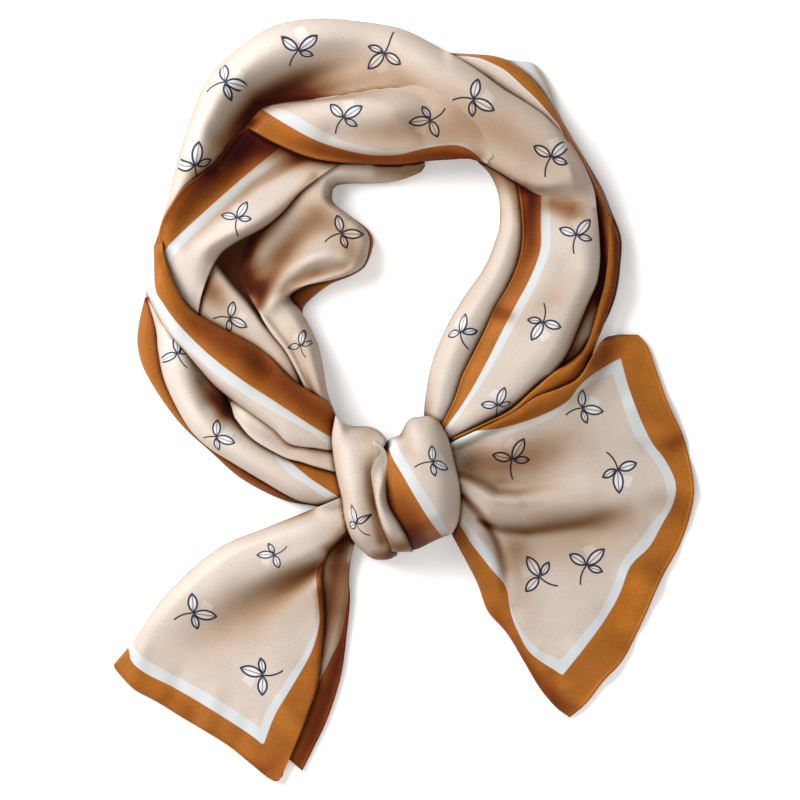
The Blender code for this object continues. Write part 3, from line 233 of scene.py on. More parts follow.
# Soft ridges and troughs of the cloth: lines of x, y, height (below zero for a trough) and half width.
CREASES = {
    "big_left_fold": (
        [(-106,26,-3,5), (-100,10,-6,5), (-97,0,-4,5)],
    ),
    "lobe_panel": (
        [(-50,83,-2,8), (-60,70,-6,9), (-74,56,-3,7)],
        [(-66,50,4,6), (-58,64,4,6), (-44,71,5,6), (-31,72,5,6), (-23,68,3,6)],
        [(-69,46,2,4), (-66,57,3,4), (-58.5,66.5,3,4), (-48.5,70.5,3,4), (-38,74,2,4)],
        [(-58,57,-2,2.5), (-48,63.5,-3,2.5), (-34,66,-2,2.5), (-24,68,-0.5,2)],
    ),
    "right_panel": (
        [(82,66,-2,7), (74,52,-1,7), (63,38,-1,7)],
    ),
    "main_loop": (
        [(-2,178,-1,12), (-28,168,-7,12), (-52,158,-15,10), (-72,151,-15,9), (-90,134,-9,9)],
        [(72,97,-4,6), (80,94,-6,8), (92,88,-1,9)],
    ),
    "dark_band_roll": (
        [(-52,122,-2,3), (-75,106.7,-2,3), (-95,90,-1.5,3.5), (-109,77,-0.5,3)],
    ),
    "top_fold": (
        [(-60,143,1,9), (-30,148,2,10), (5,146,2,12), (30,135,1,12)],
        [(-35,132,-3,7), (-5,131,-4,9), (15,134,-3,10), (40,132,-1,10)],
    ),
    "left_main_band": (
        [(-72,34,-4,8), (-68,10,-4,7), (-60,0,-1,7)], [(-88,24,2,10), (-48,-6,1,9)],
    ),
    "left_tail_front": (
        [(-30,-63,3,8), (-60,-72,4,10), (-88,-86,4,12), (-114,-106,2,13)],
        [(-40,-83,-4,4), (-56,-91,-4.5,6), (-76,-102,-3.5,9), (-98,-115,-1,12)],
        [(-44,-90,2,6), (-60,-108,2,14), (-66,-135,2,16)],
        [(-36,-78,-1.5,1.8), (-46,-83.5,-2.5,2.2), (-58,-89,-2,3), (-74,-98,-0.5,5)],
        [(-34,-71,2,4), (-50,-78,3,5), (-66,-86,3,6), (-88,-99,1.5,10)], [(-130,-124,1,4), (-136,-142,1.4,5)],
        [(-112,-138,-1,5), (-118,-154,-1.4,5)], [(-94,-148,1,5), (-100,-164,1.5,5)],
        [(-78,-160,-0.8,4), (-84,-176,-1.2,5)], [(-62,-150,1,4), (-54,-158,1.2,4)],
        [(-50,-134,-0.8,4), (-42,-136,-1,4)], [(-80,-118,0.8,9), (-96,-134,0.6,10)],
    ),
    "right_tail": (
        [(26,-42,5,5), (43,-55,7,7), (60,-57,7,8), (85,-54,5,9), (118,-50,2,9)],
        [(32,-32,-4,8), (50,-37,-3.5,10), (75,-30,-2,12)],
        [(48,-69,-1,4), (60,-70,-3,7), (90,-66,-3,8), (120,-60,-1,8)],
        [(27,-55,3,4), (36,-66,4,5), (44,-82,3,5), (50,-98,1,6)],
        [(24,-38,3,3), (34,-42,4.5,3), (45,-49,5,3), (57,-50,4.5,3.2), (70,-48,3,4), (90,-47,1,6)],
        [(26,-32,-1,4), (45,-43,-2.5,3), (62,-44,-2,4), (85,-41,-1,6)],
        [(38,-60,-2,1.8), (46,-64,-4,2.2), (62,-65,-5,2.4), (90,-61.5,-3.5,3), (112,-58,-1,5)],
        [(29,-48,-2,2), (36,-55,-2.5,2), (42,-62,-2,2), (48,-73,-2.5,2), (51,-85,-2,2.5), (52,-98,-0.5,3)],
        [(100,14,-1,5), (112,27,-1.5,5)], [(116,-2,1.4,5), (136,-4,1.8,5)], [(122,-24,-1.2,4), (144,-28,-2,5)],
        [(128,-44,1.2,5), (146,-46,1.6,5)], [(124,-66,-1.2,5), (140,-70,-1.6,6)], [(112,-88,1.4,5), (128,-96,1.8,6)],
        [(102,-108,-1,5), (116,-118,-1.4,5)], [(86,-124,1.4,5), (102,-136,1.8,6)], [(76,-138,-1,4), (80,-156,-1.4,5)],
        [(66,-126,1,4), (54,-120,1.4,4)], [(55,-106,-1,4), (42,-104,-1.2,4)], [(47,-86,1,4), (34,-84,1.4,4)],
    ),
    "knot_right_lobe": (
        [(0,-12,-2,3), (2,-22,-3,4), (3,-30,-1,4)],
    ),
    "knot_left_lobe": (
        [(-20,-20,-2,5), (-22,-34,-1,5)], [(-18,-22,1,4), (-21,-34,1.5,5), (-20,-50,1,5)],
    ),
}
# Rows of the hidden layers: inner and outer edge of the section (ix, iy, ox, oy) and greatest height.
HIDDEN_LAYERS = [
    (-20,-22,-18,-70,26), (-28,-19,-27,-46,16), (-35,-13,-42,-40,13), (-42,-2,-60,-37,14), (-48,14,-83,-24,12),
    (-54,26,-101,-3,10), (-62,36,-121,16,8), (-68,46,-123,44,6), (-64,62,-119,68,5), (-54,80,-115,92,6),
    (-50,96,-106,120,8), (-44,108,-96,147,8), (-34,116,-74,173,8), (-18,119,-40,183,9), (2,127,0,171,11),
    (23,128,25,160,11), (42,125,48,144,10), (54,113,67,126,9), (60,99,79,105,10), (58,84,91,84,12), (52,68,91,62,12),
    (41,50,84,42,12), (28,28,68,24,12), (20,6,50,3,13), (22,-12,40,-20,13), (11,-26,14,-54,24), (-6,-30,-2,-68,27),
]

# Border lines of the print: for each sheet, the line between brown and white, a place on its white side,
# the line between white and cream, and a place on its cream side.
BORDERS = {
    "big_left_fold": (
        [(-50,70), (-58,20), (-60.5,-5), (-61,-20), (-60.5,-27), (-56,-31.5), (-47,-39), (-38,-45), (-31,-49.5),
         (-22,-56)], (-50,-50),
        [(-54,70), (-62,20), (-64,-8), (-65,-22), (-64,-29), (-57.5,-36.5), (-48,-43), (-38,-50), (-34,-53),
         (-26,-60)], (-60,-48),
    ),
    "right_panel": (
        [(68.5,122), (68.5,102.5), (68.3,88), (68,75), (63,61), (55,46), (47.5,31.5), (41,18.5), (31.5,1.5),
         (21.5,-13), (14,-23)], (85,60),
        [(73,122), (73,100), (73,88), (72.5,75), (68,62), (61.5,49), (55,37), (48.5,25), (40,10), (30.5,-4),
         (21.5,-16), (15,-25)], (85,60),
    ),
    "dark_band_roll": (
        [(-40,144), (-61,127), (-80.5,111), (-99.5,94), (-114,80.5), (-120.5,73), (-126,64)], (-60,90),
        [(-38,138), (-57.5,123.5), (-77,107.5), (-96,90.5), (-110.5,77), (-117.5,68.5), (-123,58)], (-60,90),
    ),
    "top_fold": (
        [(-80,152), (-70,144.5), (-56.5,136), (-42,128.5), (-23,123), (-10,121.8), (0,122.8), (10,125.3), (20,126.8),
         (27,126.8), (33,124.5), (38.5,120), (44,114)], (0,150),
        [(-78,160), (-68,148), (-58,143.8), (-47,137.5), (-32.5,130), (-18,125.8), (-8,124.3), (2,124.8), (10,126.6),
         (20,127.8), (28,127.8), (34,125.3), (40,120), (46,114)], (0,150),
    ),
    "left_main_band": (
        [(-125,84), (-124.8,72), (-124,55.5), (-120,48), (-113.5,39), (-103.5,28.5), (-94,20), (-80,9.5), (-65.5,0),
         (-46.5,-12.5), (-36,-19), (-24,-27)], (-110,10),
        [(-131,84), (-130.5,70), (-129,57.5), (-119,39), (-112.5,29.5), (-103.5,21), (-89.5,9.5), (-75,0),
         (-60.5,-8.5), (-46.5,-16), (-36,-24), (-24,-32)], (-110,10),
    ),
    "back_right_outer": (
        [(96,190), (86,158), (80,143), (85.5,132), (92.2,120), (98.2,108), (102.6,97), (105.6,86), (106.2,75),
         (105.5,62), (103,50), (99,38), (95,26)], (60,130),
        [(58,180), (64.5,168.5), (68,161.5), (74,150.3), (80,139.7), (84,133), (90.5,121), (98,107), (104,93),
         (109,79)], (90,150),
    ),
    "back_right_inner": (
        [(16,172.5), (34.5,171.5), (44.5,168), (51.5,164), (58.5,157.5), (66,150.5), (74,141.5), (78,136.5), (82,127),
         (84,118), (88,105), (90,92), (90,60), (96,48), (97,38), (95,25), (86,10), (76,-2)], (40,150),
        [(15.8,172), (34.3,171), (44.1,167.6), (51.1,163.6), (58.1,157), (65.6,150), (73.5,141), (77.5,136),
         (81.5,127), (83.5,118), (87.5,105), (89.5,92), (89.5,60), (91.5,48), (89.5,37), (86,25), (79,14), (70,2)],
        (40,140),
    ),
    "left_tail_back": (
        [(-22,-62), (-25,-80), (-27.5,-94), (-29,-105), (-31.5,-118), (-37,-130), (-42.5,-141), (-52,-158)],
        (-60,-110), [(-26,-62), (-28.5,-80), (-31,-95), (-33,-108), (-37,-122), (-43,-136), (-56,-156)], (-60,-110),
    ),
    "left_tail_front": (
        [(-142,-116), (-138,-125), (-136.5,-131), (-129.5,-137), (-117.5,-143), (-102.5,-151.5), (-88,-160.5),
         (-76,-168.5), (-70.5,-173), (-65,-158.5), (-58,-146.5), (-50.5,-134), (-45.5,-124), (-42.4,-112),
         (-42.8,-103), (-44,-90), (-43,-83.5), (-38,-78), (-33.5,-71.5), (-29,-65), (-20,-54)], (-80,-120),
        [(-140,-114), (-136,-122.5), (-132.5,-127.5), (-124.5,-133), (-109.5,-141), (-97.5,-147.5), (-82,-157.5),
         (-72,-164.5), (-68,-154.5), (-58,-139), (-48.5,-124), (-43.8,-112), (-43.3,-103), (-44.5,-90), (-43.6,-83.2),
         (-38.5,-77.6), (-34,-71.1), (-29.5,-64.6), (-20.5,-53.5)], (-80,-120),
    ),
    "right_tail": (
        [(12,-20), (31.5,-16), (48.5,-14), (64,-9.5), (74.5,-5), (82.5,0), (86.5,5.5), (92,11), (102,17.5),
         (108.5,21), (112.5,6.5), (118,-8.5), (124,-21), (130.5,-29.5), (136,-41), (135,-51.5), (129.5,-62),
         (123,-73.5), (113.5,-83), (108.5,-96), (103,-106.5), (94,-119.5), (79.5,-138), (64,-127.5), (57.5,-117),
         (53.5,-106.5), (51,-93.5), (44.5,-85.5), (38.5,-78), (33.5,-71.5), (29,-64), (20,-50)], (80,-60),
        [(12,-25), (22.5,-22.5), (42,-19.5), (58.5,-15), (72.5,-9.5), (81,-3), (87.5,4.5), (96.5,10), (104.5,13.5),
         (109.5,-2), (115.5,-18), (125.5,-30.5), (131.5,-43.5), (130.5,-54), (124,-62), (117.5,-71), (109.5,-80.5),
         (104.5,-93.5), (98,-106.5), (89,-118), (78.5,-130.5), (65.5,-123.5), (56,-110.5), (52,-97.5), (48,-83),
         (45,-77.5), (38.5,-70), (29,-59), (20,-44)], (80,-60),
    ),
    "knot_right_lobe": (
        [(-9,-18), (-6,-28), (-0.5,-37.5), (5.5,-48), (12,-58.5), (18.5,-67.5), (24,-75)], (15,-35),
        [(-7,-13), (-4,-20.5), (-1,-26.5), (4,-35), (11.5,-47.5), (18.5,-58.5), (23,-67), (28,-76)], (18,-35),
    ),
}
BROWN = {"outer_left_edge", "lobe_back_edge", "right_over_fold"}  # sheets that show only the ochre border

# Sprigs of the print on each sheet: place, turn in degrees and half width in millimetres.
SPRIGS = {
    "main_loop": (
        (-104,118,60,11), (-88,158,-30,11), (-52,176,15,11), (-10,172,200,11), (36,150,-50,11), (74,122,20,11),
    ),
    "top_fold": ((-30,142,10,10), (12,139,165,10)),
    "dark_band_roll": ((-84,92,40,9),),
    "lobe_panel": ((-30,84,-25,10), (-52,28,60,7)),
    "inner_right_tube": ((28,34,55,9),),
    "right_panel": ((86,84,30,10), (70,38,215,10), (46,-2,50,9)),
    "big_left_fold": ((-113,24,70,9), (-92,-18,-40,9)),
    "inner_left_piece": ((-86,42,-50,9),),
    "left_tail_front": ((-104,-106,-35,11), (-72,-138,140,11), (-66,-78,160,8)),
    "right_tail": ((54,-28,40,11), (108,-36,250,11), (66,-88,100,11), (92,-82,20,11), (90,-4,-30,10)),
    "knot_left_lobe": ((-24,-60,60,9),),
    "knot_right_lobe": ((15,-30,-35,9),),
}

# Every sheet, from the lowest to the highest: name, rounding radius of its edges (first, second, start, end),
# which edges are hems (first, second, end), the record's slot, and the flat cut, width and length in metres.
SHEETS = (
    ("outer_left_edge", (4, 0, 0, 0), (0, 0, 0), "ochre_border", (0.0136, 0.161)),
    ("back_right_outer", (5, 0, 0, 0), (0, 0, 0), "ochre_border", (0.0135, 0.159)),
    ("back_right_inner", (4, 0, 0, 0), (0, 0, 0), "ochre_border", (0.0142, 0.206)),
    ("lobe_back_edge", (3, 0, 0, 0), (0, 0, 0), "ochre_border", (0.0121, 0.074)),
    ("big_left_fold", (9, 0, 0, 0), (0, 0, 0), "cream_satin", (0.0315, 0.153)),
    ("second_left_fold", (4, 0, 0, 0), (0, 0, 0), "cream_satin", (0.0162, 0.066)),
    ("inner_left_piece", (3, 0, 0, 0), (0, 0, 0), "cream_satin", (0.0224, 0.103)),
    ("lobe_panel", (6, 0, 0, 0), (0, 0, 0), "cream_satin", (0.0335, 0.201)),
    ("inner_right_tube", (11, 0, 0, 0), (0, 0, 0), "cream_satin", (0.0314, 0.152)),
    ("right_panel", (0, 10, 0, 0), (1, 0, 0), "cream_satin", (0.0428, 0.162)),
    ("main_loop", (14, 0, 0, 0), (0, 0, 0), "cream_satin", (0.0559, 0.325)),
    ("dark_band_roll", (0, 9, 0, 0), (1, 0, 0), "ochre_border", (0.0378, 0.122)),
    ("top_fold", (5, 0, 0, 0), (0, 1, 0), "cream_satin", (0.0362, 0.136)),
    ("left_main_band", (2, 5, 0, 0), (1, 0, 0), "ochre_border", (0.0241, 0.171)),
    ("right_over_fold", (2, 0, 0, 0), (0, 0, 0), "ochre_border", (0.0121, 0.126)),
    ("left_tail_back", (0, 0, 0, 0), (1, 0, 1), "ochre_border", (0.0332, 0.116)),
    ("left_tail_front", (8, 2, 0, 0), (0, 0, 1), "cream_satin", (0.072, 0.15)),
    ("right_tail", (2, 2, 0, 0), (0, 1, 1), "cream_satin", (0.1347, 0.124)),
    ("knot_right_lobe", (0, 12, 6, 14), (0, 0, 0), "cream_satin", (0.0408, 0.092)),
    ("knot_left_lobe", (12, 0, 11, 15), (0, 0, 0), "cream_satin", (0.0318, 0.104)),
    ("knot_narrow_fold", (3, 3, 6, 12), (0, 0, 0), "cream_satin", (0.0125, 0.069)),
)

# Distances over which an edge (first, second, start, end) sinks smoothly into the sheet under it.
TUCKS = {
    "main_loop": ((0,) * 19 + (6, 12, 16), (0,) * 18 + (4, 14, 24), (), (22,)),
    "top_fold": ((0, 4, 16, 32, 40, 34, 20), (), (6,), (12,)),
    "left_main_band": ((), (), (-24,), ()),
    "right_over_fold": ((), (), (36,), ()),
    "knot_narrow_fold": ((14, 14, 7, 0, 0, 0, 0), (6, 3, 0, 0, 0), (30,), ()),
}

# Soft painted shade along each fold, and painted light where the strength is below zero: lines of x, y, strength (1
# is darkest) and half width, for each sheet.
SHADES = {
    "main_loop": (
        [(-104,130,-0.1,8), (-92,155,-0.1,9), (-72,173,-0.1,10), (-42,182,-0.06,9), (-14,180,-0.03,9)],
        [(-16,161,0.1,5), (-30,157.5,0.28,5), (-44,153,0.5,5), (-60,149,0.55,6), (-72,146,0.5,7), (-82,137,0.45,7),
         (-93,126,0.35,6), (-104,113,0.25,4)],
        [(-62,156,0.1,4), (-50,162,0.15,5), (-38,168,0.12,7), (-22,173,0.12,8), (-8,168,0.14,8), (2,158,0.1,8)],
        [(34,122,0.15,4), (54,110,0.2,5), (70,101,0.25,5), (80,96,0.5,6), (90,93,0.1,8)],
        [(-10,158,0.15,12), (14,148,0.24,14), (45,135,0.3,14), (66,122,0.25,12), (84,108,0.1,8)],
    ),
    "top_fold": (
        [(-30,152,0.04,6), (-10,157,0.08,7), (8,156,0.14,8), (24,149,0.18,8), (36,140,0.18,7)],
        [(-79,136,0.5,3), (-74,143,0.4,4), (-66,146,0.3,4), (-50,149,0.1,4)],
        [(-44,134,0.08,7), (-20,132,0.2,8), (4,134,0.3,11), (26,134,0.3,12), (42,130,0.25,10)],
        [(-70,138,0.05,4), (-55,129,0.15,4), (-40,124,0.4,4), (-20,120,0.46,4), (0,119.5,0.46,4), (20,121.5,0.46,4),
         (36,119.5,0.5,4)],
    ),
    "dark_band_roll": (
        [(-96,118,0.4,6), (-82,130,0.75,8), (-66,127,0.65,9), (-44,122,0.5,7), (-24,119,0.5,6)],
        [(-116,90,0.12,6), (-104,104,0.3,8), (-84,120,0.5,10)],
        [(-50,121,0.25,3), (-75,106.7,0.25,3), (-95,90,0.15,3), (-109,77,0.1,3)],
        [(-116,90,0.15,4), (-108,103,0.3,4), (-96,114,0.4,4)],
        [(-45,111,0.3,3), (-58,98,0.2,2.5), (-72,86,0.1,2.5), (-86,76,0,2.5)],
        [(-78,90,-0.05,6), (-92,76,-0.3,7), (-104,64,-0.4,7), (-112,56,-0.3,6)], [(-118,74,-0.2,5), (-114,62,-0.3,5)],
    ),
    "lobe_panel": (
        [(-83,70,0.6,8), (-77,57,0.65,7)],
        [(-44,91,0.3,8), (-54,80,0.32,7), (-62,69,0.42,6), (-69,57,0.5,5), (-72.5,47,0.5,3)],
        [(-60,54,0.3,3), (-52,59,0.25,3), (-44,63,0.3,3), (-30,66,0.25,2.5)],
        [(-44,109,0.2,3), (-58,97,0.2,3), (-70,86,0.6,4), (-80,76,1,5)],
        [(-54,96,0.1,8), (-40,92,0.15,10), (-28,82,0.28,10), (-26,72,0.3,6)],
        [(-12,114,0.25,4), (0,114,0.4,4), (8,116,0.4,4)],
        [(-58,42,0.05,6), (-54,30,0.15,7), (-48,18,0.15,5), (-44,4,0.2,4)],
    ),
    "inner_left_piece": (
        [(-104,62,0.5,6), (-95,53,0.5,7), (-88,44,0.15,6), (-80,32,0.1,5), (-70,20,0.1,5)],
    ),
    "back_right_inner": (
        [(30,172,-0.1,4), (46,165,-0.15,4), (60,154,-0.12,4), (74,139,-0.05,4)],
        [(84,120,0.3,2), (92,107,0.5,2.5), (98,95,0.7,2.5), (99.5,80,0.85,2.5), (99,65,0.9,3), (96,52,0.7,3),
         (90,40,0.4,3), (84,26,0.2,3)],
    ),
    "back_right_outer": (
        [(86,133,0.2,2), (94,119,0.4,3), (101,106,0.5,3), (106,94,0.6,3), (109,80,0.5,3), (108,64,0.5,3),
         (105,50,0.45,3), (99,36,0.4,3)],
    ),
    "inner_right_tube": (
        [(22,-2,-0.2,5), (17,-14,-0.3,6)],
        [(46,118,0.5,6), (56,104,0.35,5), (60,88,0.3,4), (58,74,0.15,4), (48,54,-0.05,4), (38,34,-0.1,4),
         (30,12,-0.1,4), (22,-8,0,4)], [(46,92,0.1,5), (40,74,0.08,5), (28,52,0.05,5)],
    ),
    "right_panel": (
        [(84,76,-0.02,6), (76,40,-0.05,5), (62,22,-0.08,7), (50,4,-0.1,6), (36,-8,-0.1,5)],
        [(60,108,0.8,6), (64,102,0.7,5), (63,92,0.62,5), (63,78,0.52,4.5), (57,62,0.3,4), (50,50,0.15,4),
         (42,36,0.05,4), (32,18,0,4)], [(46,44,0.35,4), (52,42,0.3,4)],
        [(84,60,0.12,7), (76,50,0.2,7), (66,42,0.12,8)], [(74,98,0.45,5), (84,95,0.5,7), (92,90,0.1,8)],
        [(95,54,0.1,2), (91,44,0.3,2.5), (86,33,0.3,3), (79,20,0.1,3), (70,8,-0.15,4), (56,-4,-0.3,5),
         (40,-12,-0.35,6), (26,-15,-0.35,6)],
    ),
    "right_over_fold": (
        [(60,-2,-0.1,5), (44,-11,-0.2,5), (28,-19,-0.3,6)],
        [(104,88,0.3,1.5), (106,80,0.5,2), (106,68,0.5,2), (104.3,56,0.45,2), (101,45,0.4,2), (97.5,34,0.3,2)],
        [(92,22,0.3,2), (84,12,0.3,2.5), (74,4,0.2,2), (60,-3,0.15,2), (44,-12,0.1,2)],
    ),
    "knot_right_lobe": (
        [(-6,-20,-0.3,4), (-7,-30,-0.1,3), (-6,-38,0,4), (0,-52,0.25,6), (4,-64,0.5,7), (8,-74,0.5,6)],
        [(0,-19,0.12,4), (5,-28,0.14,4), (8,-38,0.05,5)], [(24,-18,-0.1,4), (26,-34,-0.1,4), (28,-50,-0.05,4)],
    ),
    "knot_left_lobe": (
        [(-15,-24,0.15,2), (-17.5,-34,0.25,2), (-17,-46,0.35,2), (-14.5,-58,0.4,2), (-11,-70,0.5,3)],
        [(-18,-16,0.1,4), (-20,-30,0.14,4), (-21,-50,0.12,4), (-18,-66,0.15,4)], [(-14,-78,0.4,3), (-8,-78,0.6,4)],
    ),
    "knot_narrow_fold": (
        [(-10,-66,0.1,3), (-5,-73,0.4,4), (0,-73,0.5,4)],
    ),
    "left_main_band": (
        [(-122,60,-0.05,4), (-115,49,0.1,4), (-105,39,0.35,6), (-92,31,0.45,8), (-80,23,0.45,8), (-68,15,0.48,8),
         (-57,5,0.5,8), (-44,-5,0.45,7), (-33,-14,0.4,5)],
    ),
    "outer_left_edge": (
        [(-98,-25,0.1,4), (-80,-37,0.35,4), (-62,-45,0.35,4), (-44,-50,0.25,3)],
    ),
    "big_left_fold": (
        [(-116,30,0,4), (-112,6,-0.05,5), (-100,-14,-0.08,6), (-80,-28,-0.08,6), (-60,-41,-0.05,5)],
        [(-118,36,-0.2,4), (-110,24,-0.3,6), (-102,14,-0.2,5), (-98,8,0.1,4), (-95,2,0.4,4), (-90,-7,0.4,4)],
    ),
    "second_left_fold": (
        [(-82,-6,-0.2,4), (-72,-11,-0.2,4), (-60,-16,-0.1,4)], [(-56,-24,0.1,5), (-44,-27,0.15,5)],
    ),
    "left_tail_back": (
        [(-30,-68,0.5,6), (-34,-84,0.6,6), (-37,-104,0.6,6), (-43,-124,0.4,5), (-52,-146,0.25,4)],
        [(-27,-84,0.4,3), (-28,-100,0.5,3.5), (-31,-125,0.65,5), (-38,-148,0.62,6), (-46,-170,0.6,6),
         (-54,-184,0.5,5)],
    ),
    "left_tail_front": (
        [(-36,-62,0,6), (-62,-70,-0.06,7), (-88,-82,-0.08,8), (-110,-99,-0.06,9), (-124,-112,0,8)],
        [(-30,-72,0.5,2.5), (-40,-82,0.5,3.5), (-52,-89,0.38,6), (-68,-98,0.25,9), (-88,-108,0.12,12)],
        [(-52,-98,0.12,12), (-74,-110,0.16,14), (-98,-118,0.16,14), (-120,-128,0.06,10)],
        [(-42,-96,0.4,2.5), (-41.5,-112,0.3,2.5), (-43,-130,0.2,2.5), (-48,-150,0.1,3)],
        [(-118,-148,0.2,5), (-108,-156,0.2,5)], [(-60,-172,0.2,5), (-66,-184,0.25,6)],
        [(-142,-138,0.12,3), (-120,-155.5,0.18,3), (-95,-170,0.18,3), (-72,-187,0.25,4)],
        [(-28,-66,0.3,4), (-38,-74,0.35,3)],
    ),
    "right_tail": (
        [(22,-24,-0.3,6), (34,-17,-0.2,5), (24,-34,-0.15,4)],
        [(120,-82,-0.1,6), (114,-100,-0.12,7), (106,-116,-0.1,6)],
        [(36,-30,0.36,9), (48,-32,0.42,10), (64,-28,0.4,12), (82,-22,0.22,12), (98,-20,0.06,12)],
        [(27,-36.5,0.15,1.5), (40,-41,0.22,2), (47,-45.5,0.25,2), (57,-46,0.22,2), (69,-43.5,0.12,2.5), (84,-42,0,3)],
        [(46,-56,0.15,6), (70,-57,0.2,7), (96,-56,0.12,8)], [(46,-15,0.1,4), (62,-9,0.2,4), (75,-3,0.1,4)],
        [(40,-61,0.1,1.5), (48,-65,0.3,2), (62,-66,0.3,2.5), (90,-62,0.28,3), (112,-58,0.12,8)],
        [(29,-48,0.25,1.6), (38,-58,0.25,1.6), (45,-68,0.2,1.8), (51,-84,0.12,3)],
        [(54,-76,0.24,8), (58,-94,0.14,8), (64,-112,0.08,8)], [(64,-76,0.2,10), (88,-72,0.2,12), (112,-64,0.12,10)],
        [(95,20,0.3,5), (104,27,0.2,5)], [(126,-48,0.1,6), (134,-52,0.15,6), (140,-56,0.15,6)],
        [(134,-22,0.3,5), (142,-18,0.35,5)], [(122,-84,0.1,5), (130,-88,0.15,5)],
        [(104,-118,0.1,5), (112,-126,0.15,5)], [(32,-76,0.1,4), (27,-68,0.25,5)],
        [(45,-106,0.2,4), (54,-124,0.32,5), (65,-139,0.4,5), (76,-151,0.4,5), (84,-156,0.35,5)],
    ),
}


def smooth(points, places):
    """A Catmull-Rom curve through the points, read at places counted from the first point."""
    points = np.asarray(points, float)
    padded = np.vstack([2 * points[0] - points[1], points, 2 * points[-1] - points[-2]])
    index = np.clip(places.astype(int), 0, len(points) - 2)
    t = (places - index)[:, None]
    before, here, ahead, beyond = (padded[index + step] for step in range(4))
    bend = 2 * before - 5 * here + 4 * ahead - beyond
    return 0.5 * (2 * here + (ahead - before) * t + bend * t**2 + (3 * here - before - 3 * ahead + beyond) * t**3)


def way_run(points, axis):
    """Distance of each point from the first one, measured along an axis of the grid of points."""
    steps = np.diff(points, axis=axis, prepend=np.take(points, [0], axis))
    return np.cumsum(np.linalg.norm(steps, axis=-1), axis)


def even_places(points, steps):
    """Places along the curve through the points that stand at equal distances."""
    fine = np.linspace(0, len(points) - 1, 40 * len(points))
    run = way_run(smooth(points, fine), 0)
    return np.interp(np.linspace(0, run[-1], steps + 1), run, fine)


def beside(places, start, way):
    """How far along a straight piece of line each place lies, from 0 to 1, and its distance from the piece."""
    share = np.clip(((places - start) @ way) / (way @ way), 0, 1)
    return share, np.linalg.norm(places - start - share[..., None] * way, axis=-1)


def crease(flat, rows):
    """Height or shade that a soft line of rows x, y, height, half width adds."""
    rows = np.array(rows, float)
    best = np.full(flat.shape[:2], np.inf)
    added = np.zeros(flat.shape[:2])
    for start, end in zip(rows[:-1], rows[1:]):
        share, off = beside(flat, start[:2], end[:2] - start[:2])
        height = start[2] + share * (end[2] - start[2])
        width = start[3] + share * (end[3] - start[3])
        nearer = off / width < best
        best = np.where(nearer, off / width, best)
        added = np.where(nearer, height, added)
    return added * np.exp(-(best**2))


def refine(points, parts):
    """The faceted surface through a grid of points, read at more places."""
    for axis in (0, 1):
        count = points.shape[axis]
        places = np.linspace(0, count - 1, (count - 1) * parts + 1)
        low = np.clip(places.astype(int), 0, count - 2)
        share = (places - low).reshape([-1 if a == axis else 1 for a in range(3)])
        points = np.take(points, low, axis) * (1 - share) + np.take(points, low + 1, axis) * share
    return points


def widen(grid, cells, pick):
    """Greatest or least value of a grid within some cells of each place."""
    for axis in (0, 1):
        grid = pick.reduce([np.roll(grid, shift, axis) for shift in range(-cells, cells + 1)])
    return grid


def blur(grid, steps):
    """A grid of heights, softened over some steps both ways."""
    for axis in (0, 1):
        for _ in range(steps):
            padded = np.pad(grid, [(1, 1) if a == axis else (0, 0) for a in (0, 1)], "edge")
            ahead = np.take(padded, range(2, padded.shape[axis]), axis)
            behind = np.take(padded, range(padded.shape[axis] - 2), axis)
            grid = 0.5 * grid + 0.25 * (ahead + behind)
    return grid


def cell(points):
    """Indices of the map's cells under the points."""
    x = np.clip(np.round(points[..., 0] - AREA[0]).astype(int), 0, AREA[2] - 1)
    y = np.clip(np.round(points[..., 1] - AREA[1]).astype(int), 0, AREA[3] - 1)
    return x, y


def read_map(grid, points):
    """Value of a map between its cells."""
    x = np.clip(points[..., 0] - AREA[0], 0, AREA[2] - 1.001)
    y = np.clip(points[..., 1] - AREA[1], 0, AREA[3] - 1.001)
    i, j = x.astype(int), y.astype(int)
    x, y = x - i, y - j
    near = grid[i, j] * (1 - y) + grid[i, j + 1] * y
    return near * (1 - x) + (grid[i + 1, j] * (1 - y) + grid[i + 1, j + 1] * y) * x


def across_shares(widths, count, radii, hems):
    """Shares across for each row: at fixed distances beside a hem, closer together at a rounded edge."""
    middle = (np.arange(count) + 0.5) / count
    size = 1 - CROWD * (radii[0] > ROUND_FROM) * (1 - middle) ** 3 - CROWD * (radii[1] > ROUND_FROM) * middle**3
    run = np.concatenate([[0], np.cumsum(size)]) / size.sum()
    rows = []
    for width in widths:
        first = np.array(HEM) / width if hems[0] else np.array([0.0])
        second = 1 - np.array(HEM)[::-1] / width if hems[1] else np.array([1.0])
        inner = first[-1] + run * (second[0] - first[-1])
        rows.append(np.concatenate([first[:-1], inner, second[1:]]))
    return np.array(rows)


